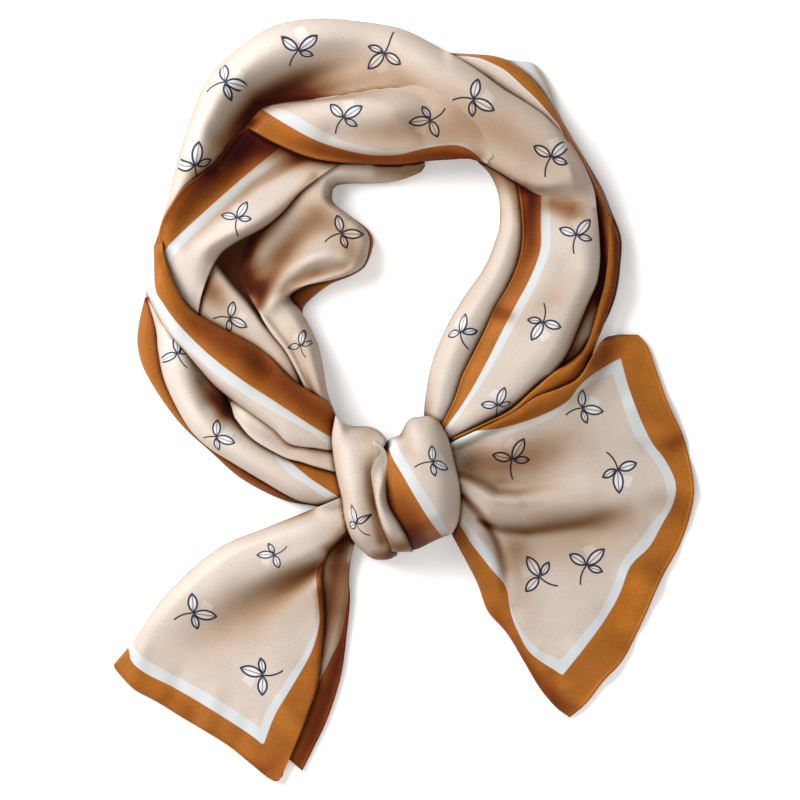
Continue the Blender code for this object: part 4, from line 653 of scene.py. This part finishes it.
def plan(name, radii, hems):
    """Places of a sheet's points seen from above, their heights, and how far each lies from its hems."""
    rows = np.array(SECTIONS[name], float)
    middle = (rows[:, 0:2] + rows[:, 2:4]) / 2
    length = max(np.linalg.norm(np.diff(line, axis=0), axis=1).sum() for line in (rows[:, 0:2], rows[:, 2:4]))
    places = even_places(middle, int(np.ceil(length / STEP)))
    if hems[2]:
        last = places[-1] - np.array(HEM)[::-1] / length * (len(rows) - 1)
        places = np.concatenate([places[places < last[0] - HEM_GAP], last])
    read = smooth(rows, places)
    widths = np.linalg.norm(read[:, 2:4] - read[:, 0:2], axis=1)
    v = across_shares(widths, int(np.ceil(widths.max() / STEP)), radii, hems)
    flat = read[:, None, 0:2] * (1 - v[..., None]) + read[:, None, 2:4] * v[..., None]
    u = (places / (len(rows) - 1))[:, None, None]
    for curve, row, share in zip(ENDS.get(name, ()), (0, -1), (1 - u, u)):
        if curve:
            line = smooth(curve, np.interp(v[row], np.linspace(0, 1, 201), even_places(curve, 200)))
            flat = flat + share**2 * (line - flat[row])[None]
    low, mid, high = (read[:, None, column] for column in (4, 5, 6))
    height = low * (1 - v) * (1 - 2 * v) + mid * 4 * v * (1 - v) + high * v * (2 * v - 1)
    near = np.full(height.shape, np.inf)
    for hem, edge in zip(hems, (flat[:, :1], flat[:, -1:], flat[-1:])):
        if hem:
            near = np.minimum(near, np.linalg.norm(flat - edge, axis=2))
    return flat, height, near


def edges_of(flat):
    """The first, the second, the starting and the ending edge of a sheet."""
    return flat[:, :1], flat[:, -1:], flat[:1], flat[-1:]


def hold_round(flat, height, radii, support):
    """Turns the rounded edges down, in a quarter round, towards what they lie on, which not all of them reach."""
    width = np.linalg.norm(flat[:, -1:] - flat[:, :1], axis=2)
    length = np.linalg.norm(np.diff(flat, axis=0), axis=2).sum(0)[None]
    for edge, span, radius in zip(edges_of(flat), (width, width, length, length), radii):
        if radius:
            turn = np.minimum(radius, ROUND_SHARE * span)
            rests_on = blur(read_map(support, edge), 4)
            floor = np.where(rests_on > 0, rests_on + LAYER + EDGE_LIFT, 0)
            floor = np.maximum(np.maximum(floor, EDGE_HEIGHT), height - EDGE_DROP * turn)
            away = np.linalg.norm(flat - edge, axis=2)
            full = np.sqrt(1 - (1 - np.clip(away / turn, 0, 1)) ** 2)
            height = np.minimum(height, floor) + np.maximum(height - floor, 0) * full
    return height


def lay_on(flat, height, support):
    """Raises a sheet, softly, where it would come too near to what lies under it."""
    below = read_map(support, flat)
    clear = np.where(below > 0, below + LAYER, GROUND)
    for reach, soft in ((2, 4), (1, 2), (1, 1)):
        missing = np.pad(np.clip(clear - height, 0, None), 3, "edge")
        height = height + blur(widen(missing, reach, np.maximum)[3:-3, 3:-3], soft)
    return np.maximum(height, clear - LEEWAY)


def tuck_in(flat, height, tucks, support, given):
    """Sinks an edge just under the sheet that it runs into, so that the two look like one cloth.

    Where the reach is below zero the edge keeps its own low height and runs in beneath that sheet.
    """
    for number, (edge, reaches) in enumerate(zip(edges_of(flat), tucks)):
        if reaches:
            count = max(edge.shape[:2])
            reach = np.interp(np.linspace(0, 1, count), np.linspace(0, 1, len(reaches)), reaches)
            reach = np.maximum(abs(reach[:, None] if number < 2 else reach[None]), 0.01)
            share = np.clip(np.linalg.norm(flat - edge, axis=2) / reach, 0, 1)
            share = share * share * (3 - 2 * share)
            if min(reaches) < 0:
                below = np.maximum(given, BENEATH)
            else:
                under = read_map(support, flat)
                below = np.minimum(blur(under, 6), blur(under, 2)) - SUNK
                share = 1 - (1 - share) * np.clip((OVERHANG[0] - height + below) / OVERHANG[1], 0, 1)
            height = below + (height - below) * share
    return height


def off_line(flat, line, inside):
    """Signed distance of each place from a line: above zero on the side where the given place lies."""
    def signed(places):
        best = np.full(places.shape[:-1], np.inf)
        value = np.zeros(places.shape[:-1])
        for start, end in zip(line[:-1], line[1:]):
            way = end - start
            _, off = beside(places, start, way)
            side = way[0] * (places[..., 1] - start[1]) - way[1] * (places[..., 0] - start[0])
            side = side / np.linalg.norm(way)
            rank = off - 1e-4 * np.abs(side)  # of two pieces equally near, the one that it lies more squarely beside
            nearer = rank < best
            best = np.where(nearer, rank, best)
            value = np.where(nearer, np.sign(side) * off, value)
        return value
    return signed(flat) * np.sign(signed(np.array([inside], float))[0])


def smooth_line(points):
    """A border line with its slight bends rounded and its corners kept."""
    points = np.array(points, float)
    way = np.diff(points, axis=0)
    way /= np.linalg.norm(way, axis=1)[:, None]
    corner = np.concatenate([[True], (way[1:] * way[:-1]).sum(1) < CORNER, [True]])
    stops = np.flatnonzero(corner)
    parts = []
    for start, end in zip(stops[:-1], stops[1:]):
        piece = points[start : end + 1]
        parts.append(smooth(piece, np.linspace(0, end - start, 4 * (end - start) + 1))[:-1])
    return np.vstack(parts + [points[-1:]])


def stripes(name, flat):
    """Signed distances to the print's two border lines, in millimetres."""
    if name not in BORDERS:
        return np.full((*flat.shape[:2], 2), -FAR if name in BROWN else FAR)
    outer, white_side, inner, cream_side = BORDERS[name]
    pair = ((outer, white_side), (inner, cream_side))
    return np.stack([off_line(flat, smooth_line(line), place) for line, place in pair], -1)


def cloth_places(points):
    """Places on the flat cloth, in metres: how far each point lies along and across the sheet."""
    along = way_run(points, 0).mean(1, keepdims=True)
    return np.stack([np.broadcast_to(along, points.shape[:2]), way_run(points, 1)], -1) * MM


def sprig_frames(name, points):
    """The middle, the two directions and the half width of each sprig on a sheet."""
    frames = []
    for x, y, turn, half in SPRIGS.get(name, ()):
        off = np.linalg.norm(points[..., 0:2] - (x, y), axis=2)
        i, j = np.unravel_index(off.argmin(), off.shape)
        i, j = min(max(i, 2), points.shape[0] - 3), min(max(j, 2), points.shape[1] - 3)
        normal = np.cross(points[i + 2, j] - points[i - 2, j], points[i, j + 2] - points[i, j - 2])
        normal = normal / np.linalg.norm(normal) * (1 if normal[2] > 0 else -1)
        side = np.cross(normal, (math.cos(math.radians(turn)), math.sin(math.radians(turn)), 0.0))
        side /= np.linalg.norm(side)
        frames.append((points[i, j], np.cross(side, normal), side, half))
    return frames


def sprig_places(frames, corners):
    """Places in the nearest sprig's own frame of every face's corners, or FAR where the cloth turns away."""
    sprig = np.full((*corners.shape[:2], 2), FAR)
    if frames:
        centre = corners.mean(1)
        best = np.argmin([np.linalg.norm(centre - place, axis=1) for place, _, _, _ in frames], axis=0)
        for number, (place, ahead, side, half) in enumerate(frames):
            off = corners[best == number] - place
            here = np.stack([off @ ahead, off @ side], -1) / half
            here[(np.abs(off @ np.cross(ahead, side)) > SPRIG_DEPTH * half).any(1)] = FAR
            sprig[best == number] = here
    return sprig


def new_mesh(name, points, quads, closed):
    """A mesh of quads between points in millimetres."""
    shape = bmesh.new()
    verts = [shape.verts.new((point + (*SHIFT, 0)) * MM) for point in points.reshape(-1, 3)]
    for quad in quads:
        shape.faces.new([verts[k] for k in quad])
    if closed:
        bmesh.ops.recalc_face_normals(shape, faces=shape.faces)
    else:
        shape.normal_update()
        if sum(face.normal.z for face in shape.faces) < 0:
            bmesh.ops.reverse_faces(shape, faces=shape.faces)
    mesh = bpy.data.meshes.new(name + "_cloth")
    shape.to_mesh(mesh)
    shape.free()
    mesh.shade_smooth()
    return mesh


def sheet_mesh(name, points, shade):
    """A sheet's mesh, with the places on its cloth and in its print, and its painted shade, as UV maps."""
    rows, columns = points.shape[:2]
    index = np.arange(rows * columns).reshape(rows, columns)
    quads = np.stack([index[:-1, :-1], index[1:, :-1], index[1:, 1:], index[:-1, 1:]], -1).reshape(-1, 4)
    mesh = new_mesh(name, points, quads, False)
    loops = np.zeros(len(mesh.loops), int)
    mesh.loops.foreach_get("vertex_index", loops)
    corners = points.reshape(-1, 3)[loops].reshape(-1, 4, 3)
    for layer, values in (
        ("cloth", cloth_places(points).reshape(-1, 2)[loops]),
        ("border", stripes(name, points[..., 0:2]).reshape(-1, 2)[loops]),
        ("sprig", sprig_places(sprig_frames(name, points), corners)),
        ("fold_shade", np.stack([shade.ravel()] * 2, -1)[loops]),
    ):
        mesh.uv_layers.new(name=layer).data.foreach_set("uv", values.astype(np.float32).ravel())
    return mesh


INK_SOFT = 0.03  # softness of the sprigs' lines, in half widths
BORDER_SOFT = 0.35  # softness of the border's lines, in millimetres
BUMP = 0.0002  # depth of the weave, in metres


class Nodes:
    """Short calls that add shader nodes and link them."""

    def __init__(self, name):
        self.made = bpy.data.materials.new(name)
        self.made.use_nodes = True
        self.shader = self.made.node_tree.nodes["Principled BSDF"]

    def put(self, node, inputs):
        """Sets a node's inputs, or links them where the value is another node's output."""
        for key, value in inputs:
            if isinstance(value, bpy.types.NodeSocket):
                self.made.node_tree.links.new(value, node.inputs[key])
            else:
                node.inputs[key].default_value = value

    def add(self, kind, inputs=(), output=0, **settings):
        """One output of a new node."""
        node = self.made.node_tree.nodes.new("ShaderNode" + kind)
        for key, value in settings.items():
            setattr(node, key, value)
        self.put(node, inputs)
        return node.outputs[output]

    def math(self, operation, *values, clamp=False):
        return self.add("Math", enumerate(values), operation=operation, use_clamp=clamp)

    def minus(self, first, second):
        return self.math("SUBTRACT", first, second)

    def times(self, first, second):
        return self.math("MULTIPLY", first, second)

    def above(self, value, width):
        """0 well below zero, 1 well above, softly over the width."""
        return self.math("ADD", self.times(value, 1 / width), 0.5, clamp=True)

    def below(self, value, width=INK_SOFT):
        """1 well below zero, 0 well above, softly over the width."""
        return self.minus(1.0, self.above(value, width))

    def mix(self, share, first, second, how="MIX"):
        return self.add("Mix", [(0, share), (6, first), (7, second)], 2, data_type="RGBA", blend_type=how)

    def vector(self, operation, first, second, output="Vector"):
        return self.add("VectorMath", [(0, first), (1, second)], output, operation=operation)

    def away(self, vector, place):
        return self.vector("DISTANCE", vector, (place[0], place[1], 0.0), "Value")

    def noise(self, where, scale, detail, roughness=0.5, dimensions="2D"):
        inputs = [("Vector", where), ("Scale", scale), ("Detail", detail), ("Roughness", roughness)]
        return self.add("TexNoise", inputs, noise_dimensions=dimensions)

    def bumped(self, height, strength):
        return self.add("Bump", [("Strength", strength), ("Distance", BUMP), ("Height", height)])


# The sprig, in its half widths. Leaves: base, tip and bulge.
LEAVES = (
    ((-0.05, -0.1), (0.92, 0.3), 0.22), ((-0.1, -0.05), (-0.62, 0.62), 0.2), ((-0.02, -0.2), (0.5, -0.62), 0.15),
)
LEAF_LINE, RIB_LINE, STEM_LINE = 0.046, 0.05, 0.04  # half widths of the lines
STEM = ((0.55, -1.15), 1.22, (-0.38, -0.42), 0.5)  # a circle, and the circle inside which it shows
LOZENGE = ((0.42, 0.42), 0.27)  # middle and half width


def leaf(n, where, base, tip, bulge):
    """Signed distance to a pointed leaf between two places, below zero inside, and to its middle vein."""
    base, tip = Vector((*base, 0)), Vector((*tip, 0))
    middle, half = (base + tip) / 2, (tip - base).length / 2
    side = Vector((base.y - tip.y, tip.x - base.x, 0)).normalized()
    radius = (half**2 + bulge**2) / (2 * bulge)
    first = n.away(where, middle + side * (radius - bulge))
    second = n.away(where, middle - side * (radius - bulge))
    return n.minus(n.math("MAXIMUM", first, second), radius), n.math("ABSOLUTE", n.minus(first, second))


def sprig_masks(n, where):
    """Ink and white of a three-leaf sprig, and the pale lozenge beside it."""
    middle, radius, shown, shown_radius = STEM
    ring = n.math("ABSOLUTE", n.minus(n.away(where, middle), radius))
    ink = n.times(n.below(n.minus(ring, STEM_LINE)), n.below(n.minus(n.away(where, shown), shown_radius)))
    white = 0.0
    for base, tip, bulge in LEAVES:
        edge, vein = leaf(n, where, base, tip, bulge)
        inside = n.below(edge)
        line = n.below(n.minus(n.math("ABSOLUTE", edge), LEAF_LINE))
        rib = n.times(inside, n.below(n.minus(vein, RIB_LINE)))
        ink = n.math("MAXIMUM", ink, n.math("MAXIMUM", line, n.times(rib, 0.75)))
        white = n.math("MAXIMUM", white, inside)
    x, y = (n.add("SeparateXYZ", [(0, where)], axis) for axis in (0, 1))
    middle, half = LOZENGE
    slant = n.math("ABSOLUTE", n.math("ADD", n.minus(x, middle[0]), n.times(y, 0.25)))
    tall = n.math("ABSOLUTE", n.minus(y, middle[1]))
    return ink, white, n.below(n.minus(n.math("MAXIMUM", slant, tall), half))


CREAM = (0.62, 0.535, 0.465, 1)
OCHRE = (0.36, 0.118, 0.012, 1)
WHITE = (0.62, 0.645, 0.655, 1)
INK = (0.012, 0.012, 0.035, 1)
PALE = (0.74, 0.715, 0.7, 1)  # the lozenges
LEAF_WHITE = (0.76, 0.78, 0.8, 1)
INNER_SHADE = (0.07, 0.018, 0.005, 1)  # the layers inside, painted near black as the shade in the gaps between the sheets

# Painted shade of each fold: share of the sky shut off, and the tint there, which darkens the colour; below 0.1 the
# tint paints light.
FOLD_SHADE_TINTS = (
    (0.0, (1.0, 1.0, 1.0)), (0.1, (0.84, 0.84, 0.84)), (0.22, (0.75, 0.695, 0.645)), (0.4, (0.52, 0.405, 0.305)),
    (0.6, (0.32, 0.185, 0.092)), (0.8, (0.15, 0.04, 0.011)), (1.0, (0.06, 0.008, 0.003)),
)

FLECK, CLOUD, WEAVE = 900.0, 70.0, 1900.0  # scales of the dye's flecks and clouds and of the weave, per metre
STREAK = (60.0, 60.0, 1.0)  # scales along and across the cloth
SLUB = (90.0, 900.0, 1.0)


def lit(colour, share):
    """The colour made darker or lighter."""
    return [part * share for part in colour[:3]] + [1]


def satin(name):
    """Printed silk satin: the border, the sprigs, a fine weave, a soft sheen, and painted shade and light in each
    fold.
    """
    n = Nodes(name)
    cloth, border, sprig, fold_shade = (n.add("UVMap", uv_map=layer) for layer in ("cloth", "border", "sprig", "fold_shade"))
    tone = n.math("ADD", n.times(n.noise(cloth, FLECK, 3.0, 0.6), 0.7), n.times(n.noise(cloth, CLOUD, 2.0), 0.3))
    ground = n.mix(n.math("MULTIPLY_ADD", tone, 1.6, -0.4, clamp=True), lit(CREAM, 0.88), lit(CREAM, 1.1))
    streak = n.noise(n.vector("MULTIPLY", cloth, STREAK), 1.0, 1.0)
    tone = n.math("ADD", n.times(tone, 0.7), n.times(streak, 0.3))
    dyed = n.mix(n.math("MULTIPLY_ADD", tone, 2.2, -0.6, clamp=True), lit(OCHRE, 0.7), lit(OCHRE, 1.35))
    ink, white, pale = sprig_masks(n, sprig)
    for mask, share, colour in ((pale, 0.6, PALE), (white, 0.8, LEAF_WHITE), (ink, 0.98, INK)):
        ground = n.mix(n.times(mask, share), ground, colour)
    outer, inner = (n.add("SeparateXYZ", [(0, border)], axis) for axis in (0, 1))
    colour = n.mix(n.above(inner, BORDER_SOFT), WHITE, ground)
    colour = n.mix(n.below(outer, BORDER_SOFT), colour, dyed)
    # Painted shade and light: the fold shade, through the tints, darkens or lightens the colour.
    shut = n.add("SeparateXYZ", [(0, fold_shade)])
    ramp = n.add("ValToRGB", [(0, shut)])
    stops = ramp.node.color_ramp.elements
    for place, tint in FOLD_SHADE_TINTS:
        stop = stops.new(place) if 0 < place < 1 else stops[-1 if place else 0]
        stop.color = (*tint, 1)
    weave = n.noise(cloth, WEAVE, 2.0)
    slub = n.noise(n.vector("MULTIPLY", cloth, SLUB), 1.0, 3.0)
    rough = n.math("MULTIPLY_ADD", shut, 0.5, n.math("MULTIPLY_ADD", weave, 0.12, 0.45), clamp=True)
    n.put(n.shader, [
        ("Base Color", n.mix(1.0, colour, ramp, "MULTIPLY")), ("Roughness", rough),
        ("Normal", n.bumped(n.math("ADD", n.times(weave, 0.7), n.times(slub, 0.5)), 0.16)),
        ("Specular IOR Level", 0.15), ("Sheen Weight", 0.04), ("Sheen Roughness", 0.35),
        ("Sheen Tint", (1.0, 0.93, 0.86, 1)),
    ])
    return n.made


def painted_shade_satin(name):
    """Plain satin for the layers inside, near black as painted shade in the gaps between the sheets."""
    n = Nodes(name)
    where = n.add("TexCoord", (), "Object")
    cloud = n.noise(where, 90.0, 4.0, dimensions="3D")
    weave = n.noise(where, WEAVE, 2.0, dimensions="3D")
    n.put(n.shader, [
        ("Base Color", n.mix(cloud, lit(INNER_SHADE, 0.6), lit(INNER_SHADE, 1.3))), ("Normal", n.bumped(weave, 0.15)),
        ("Roughness", 0.7), ("Specular IOR Level", 0.1),
    ])
    return n.made


def openness(points, top):
    """How deep in a fold each point lies, from 0 to 1, as painted shade: walls on both sides count more than one."""
    walls = []
    for turn in np.linspace(0, 2 * math.pi, SKY_TURNS, endpoint=False):
        slope = np.zeros(points.shape[:2])
        for reach in SKY_REACHES:
            there = points[..., 0:2] + reach * np.array([math.cos(turn), math.sin(turn)])
            slope = np.maximum(slope, (read_map(top, there) - points[..., 2] - WALL_FROM) / reach)
        walls.append(slope**2 / (1 + slope**2))
    walls = np.array(walls)
    return ONE_WALL * walls.mean(0) + np.minimum(*np.split(walls, 2)).mean(0)


def declare(name, mesh, material, wall):
    """The piece that shows a node's cloth, with its thickness where the mesh is one layer."""
    mesh.materials.append(material)
    piece = bpy.data.objects.new(name + "_cloth", mesh)
    bpy.context.scene.collection.objects.link(piece)
    if wall:
        solid = piece.modifiers.new("wall", "SOLIDIFY")
        solid.thickness = wall
        solid.offset = -1
    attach(piece, "root")
    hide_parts(name)


def make_sheets(material):
    """Builds every sheet from the lowest to the highest, and returns the map of their undersides."""
    top = np.zeros(AREA[2:])
    bottom = np.full(AREA[2:], np.inf)
    shapes = []
    for name, radii, hems, _, _ in SHEETS:
        flat, height, near = plan(name, radii, hems)
        for rows in CREASES.get(name, ()):
            height = height + crease(flat, rows)
        support = widen(top, 1, np.maximum)
        given = hold_round(flat, height, radii, support)
        height = tuck_in(flat, lay_on(flat, given, support), TUCKS.get(name, ()), support, given)
        height = height + HEM_ROLL * np.sin(np.clip(near / HEM_WIDTH, 0, 1) * math.pi)
        shapes.append(np.dstack([flat, height]))
        fine = refine(shapes[-1], FINE)
        np.maximum.at(top, cell(fine), fine[..., 2])
        np.minimum.at(bottom, cell(fine), fine[..., 2] - THICK)
    for points, (name, _, _, slot, cut) in zip(shapes, SHEETS):
        # Painted shade: darker deep in each fold and along the listed lines, lighter where a line is below zero.
        shade = BASE_SHADE + blur(openness(points, top), 1)
        for rows in SHADES.get(name, ()):
            shade = shade + crease(points[..., 0:2], rows)
        declare(name, sheet_mesh(name, points, shade), material, THICK * MM)
    return bottom


HIDDEN_STEPS, HIDDEN_ROWS = 9, 19  # points per section along the ring, and up each side
HIDDEN_CLEAR = 1.5  # room left under the sheets
HIDDEN_LEAST = 2.0  # least height


def make_hidden(bottom, material):
    """The bunched layers inside: one closed ring with a flat underside and three layers along its edges."""
    rows = np.array(HIDDEN_LAYERS, float)
    wrapped = np.vstack([rows[-2:], rows, rows[:3]])
    count = HIDDEN_STEPS * len(rows)
    read = smooth(wrapped, np.linspace(2, 2 + len(rows), count + 1))[:count]
    up = np.linspace(0, 1, HIDDEN_ROWS)
    inset = 0.05 * (1 - np.abs(np.sin(3 * math.pi * up))) + 0.12 * np.clip((up - 0.75) / 0.25, 0, 1) ** 2
    sides = [(share, 0.0) for share in (0.2, 0.5, 0.8)]
    sides += [(1 - back, rise) for back, rise in zip(inset, up)]
    sides += [(share, 1.0) for share in (0.7, 0.5, 0.3)]
    sides += [(back, rise) for back, rise in zip(inset[::-1], up[::-1])]
    room = widen(bottom, 3, np.minimum)
    points = np.zeros((count, len(sides), 3))
    for column, (across, rise) in enumerate(sides):
        shares = (across, min(max(across, 0.15), 0.85))
        place, inward = (read[:, 0:2] * (1 - share) + read[:, 2:4] * share for share in shares)
        free = np.minimum(room[cell(place)], room[cell(np.roll(place, 1, 0))])
        free = np.minimum(free, room[cell(inward)])
        points[:, column, 0:2] = place
        points[:, column, 2] = rise * np.maximum(np.minimum(free - HIDDEN_CLEAR, read[:, 4]), HIDDEN_LEAST)
    index = np.arange(count * len(sides)).reshape(count, -1)
    ahead = np.roll(index, -1, 0)
    quads = np.stack([index, ahead, np.roll(ahead, -1, 1), np.roll(index, -1, 1)], -1).reshape(-1, 4)
    mesh = new_mesh("hidden_layers", points, quads, True)
    declare("hidden_layers", mesh, material, 0)


LENS, SENSOR = 300.0, 36.0  # millimetres
VIEW_WIDTH = 0.4  # metres across the picture at the floor
# Lights: name, place, size in metres, power in watts and colour.
LIGHTS = (
    ("key", (-1.0, 0.65, 0.95), 0.9, 35.0, (0.97, 0.985, 1.0)),
    ("fill", (-0.45, -1.0, 1.0), 1.0, 9.0, (1.0, 0.97, 0.94)),
    ("back", (0.9, 0.5, 1.1), 1.0, 4.0, (1.0, 0.95, 0.90)),
)


def make_stage():
    """A pale floor, soft lights and the camera straight above."""
    scene = bpy.context.scene
    bpy.ops.mesh.primitive_plane_add(size=4, location=(0, 0, -0.0003))
    floor = bpy.context.object
    floor.name = "floor"
    n = Nodes("pale_floor")
    n.put(n.shader, [
        ("Base Color", (0.9, 0.9, 0.9, 1)), ("Roughness", 0.9),
        ("Emission Color", (1, 1, 1, 1)), ("Emission Strength", 0.2),
    ])
    floor.data.materials.append(n.made)
    scene.world = bpy.data.worlds.new("studio")
    scene.world.use_nodes = True
    sky = scene.world.node_tree.nodes["Background"]
    sky.inputs[0].default_value = (1.0, 0.955, 0.91, 1)
    sky.inputs[1].default_value = 0.27
    for name, place, size, power, colour in LIGHTS:
        light = bpy.data.lights.new(name, "AREA")
        light.size, light.energy, light.color = size, power, colour
        lamp = bpy.data.objects.new(name, light)
        lamp.location = place
        lamp.rotation_euler = (-lamp.location).to_track_quat("-Z", "Y").to_euler()
        scene.collection.objects.link(lamp)
    camera = bpy.data.cameras.new("camera")
    camera.lens, camera.sensor_width = LENS, SENSOR
    view = bpy.data.objects.new("camera", camera)
    view.location = (-0.002, SHIFT[1] * MM, VIEW_WIDTH * LENS / SENSOR + 0.012)
    scene.collection.objects.link(view)
    scene.camera = view
    scene.view_settings.view_transform = "Standard"


def main():
    make_stage()
    bottom = make_sheets(satin("printed_satin"))
    make_hidden(bottom, painted_shade_satin("inner_satin_painted_shade"))
    bpy.context.view_layer.update()


main()
